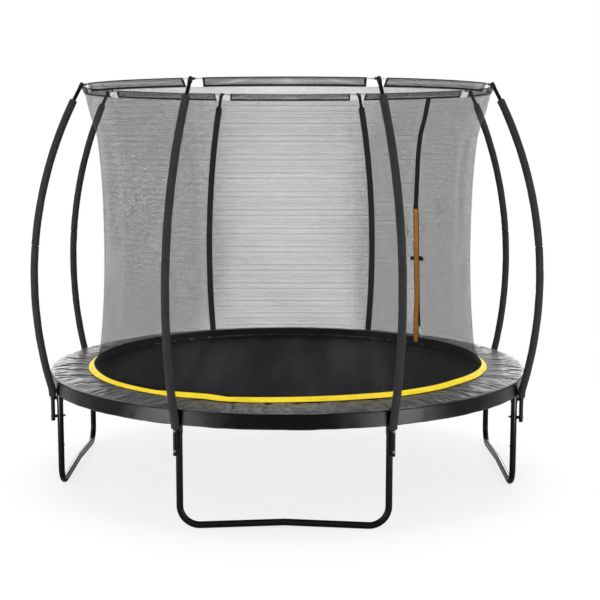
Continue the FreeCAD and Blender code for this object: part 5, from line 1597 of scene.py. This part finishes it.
class TRAMPOLINE_OT_studio(Step, bpy.types.Operator):
    """Set up the floor, the lights and the camera"""

    bl_idname = "trampoline.studio"
    bl_label = "Studio"

    def execute(self, context):
        scene = context.scene
        sizes = scene.trampoline_studio
        floor_reach = 24.0
        corners = around(floor_reach, np.radians([45, 135, 225, 315]), 0.0)
        floor = piece("floor", corners, [(0, 1, 2, 3)])
        floor.data.materials.append(floor_finish())
        self.light_room(scene, sizes)
        self.hang_lamps(scene, sizes)
        self.place_camera(scene, sizes)
        return {"FINISHED"}

    def place_camera(self, scene, sizes):
        """Camera in front, turned and tilted towards the middle."""
        data = bpy.data.cameras.new("camera")
        data.lens = sizes.lens
        data.sensor_width = 36.0
        data.shift_x = sizes.shift
        data.clip_end = 100.0
        camera = bpy.data.objects.new("camera", data)
        camera.location = (sizes.distance * np.sin(sizes.turn),
                           -sizes.distance * np.cos(sizes.turn), sizes.height)
        camera.rotation_euler = (np.pi / 2 - sizes.pitch, 0.0, sizes.turn)
        scene.collection.objects.link(camera)
        scene.camera = camera
        scene.view_settings.view_transform = "Standard"

    def light_room(self, scene, sizes):
        """White room to the eye and in reflections, dimmer as a light."""
        world = bpy.data.worlds.new("room")
        scene.world = world
        world.use_nodes = True
        room = Nodes(world.node_tree)
        seen = room.node("LightPath", output="Is Camera Ray")
        for ray in ("Is Glossy Ray", "Is Transmission Ray"):
            seen = room.node("Math", {"operation": "MAXIMUM"},
                             {0: seen, 1: room.node("LightPath", output=ray)})
        strength = room.node("MapRange", {}, {"Value": seen, "To Min": sizes.surround})
        background = room.node("Background", {}, {"Color": (1, 1, 1, 1), "Strength": strength})
        room.node("OutputWorld", {}, {"Surface": background})

    def hang_lamps(self, scene, sizes):
        """Soft lamps round the object, unseen by the camera."""
        for name, spot, faced, size, power, diffuse in LAMPS:
            data = bpy.data.lights.new(name, "AREA")
            data.shape = "RECTANGLE"
            data.size, data.size_y = size
            data.energy = power * sizes.lamps
            lamp = bpy.data.objects.new(name, data)
            lamp.location = spot
            aim = Vector(faced) - Vector(spot)
            lamp.rotation_euler = aim.to_track_quat("-Z", "Y").to_euler()
            lamp.visible_camera = False
            lamp.visible_diffuse = diffuse
            scene.collection.objects.link(lamp)


class TRAMPOLINE_PT_panel(bpy.types.Panel):
    """Steps of the trampoline, in order"""

    bl_idname = "TRAMPOLINE_PT_panel"
    bl_label = "Trampoline"
    bl_space_type = "VIEW_3D"
    bl_region_type = "UI"
    bl_category = "Trampoline"

    def draw(self, context):
        for step in STEPS:
            self.layout.operator(step.bl_idname)
        for label, group in GROUPS.items():
            box = self.layout.box()
            box.label(text=group.__doc__)
            for prop in group.__annotations__:
                box.prop(getattr(context.scene, label), prop)


STEPS = [
    TRAMPOLINE_OT_studio,
    TRAMPOLINE_OT_steelwork,
    TRAMPOLINE_OT_hardware,
    TRAMPOLINE_OT_foam,
    TRAMPOLINE_OT_pad,
    TRAMPOLINE_OT_skirt,
    TRAMPOLINE_OT_mat,
    TRAMPOLINE_OT_springs,
    TRAMPOLINE_OT_net,
    TRAMPOLINE_OT_net_edges,
    TRAMPOLINE_OT_door,
]


def register():
    for group in GROUPS.values():
        bpy.utils.register_class(group)
    for label, group in GROUPS.items():
        setattr(bpy.types.Scene, label, PointerProperty(type=group))
    for step in STEPS + [TRAMPOLINE_PT_panel]:
        bpy.utils.register_class(step)


def unregister():
    for step in [TRAMPOLINE_PT_panel] + STEPS[::-1]:
        bpy.utils.unregister_class(step)
    for label, group in GROUPS.items():
        delattr(bpy.types.Scene, label)
        bpy.utils.unregister_class(group)


def main():
    register()
    for step in STEPS:
        group, name = step.bl_idname.split(".")
        getattr(getattr(bpy.ops, group), name)()


if __name__ == "__main__":
    main()
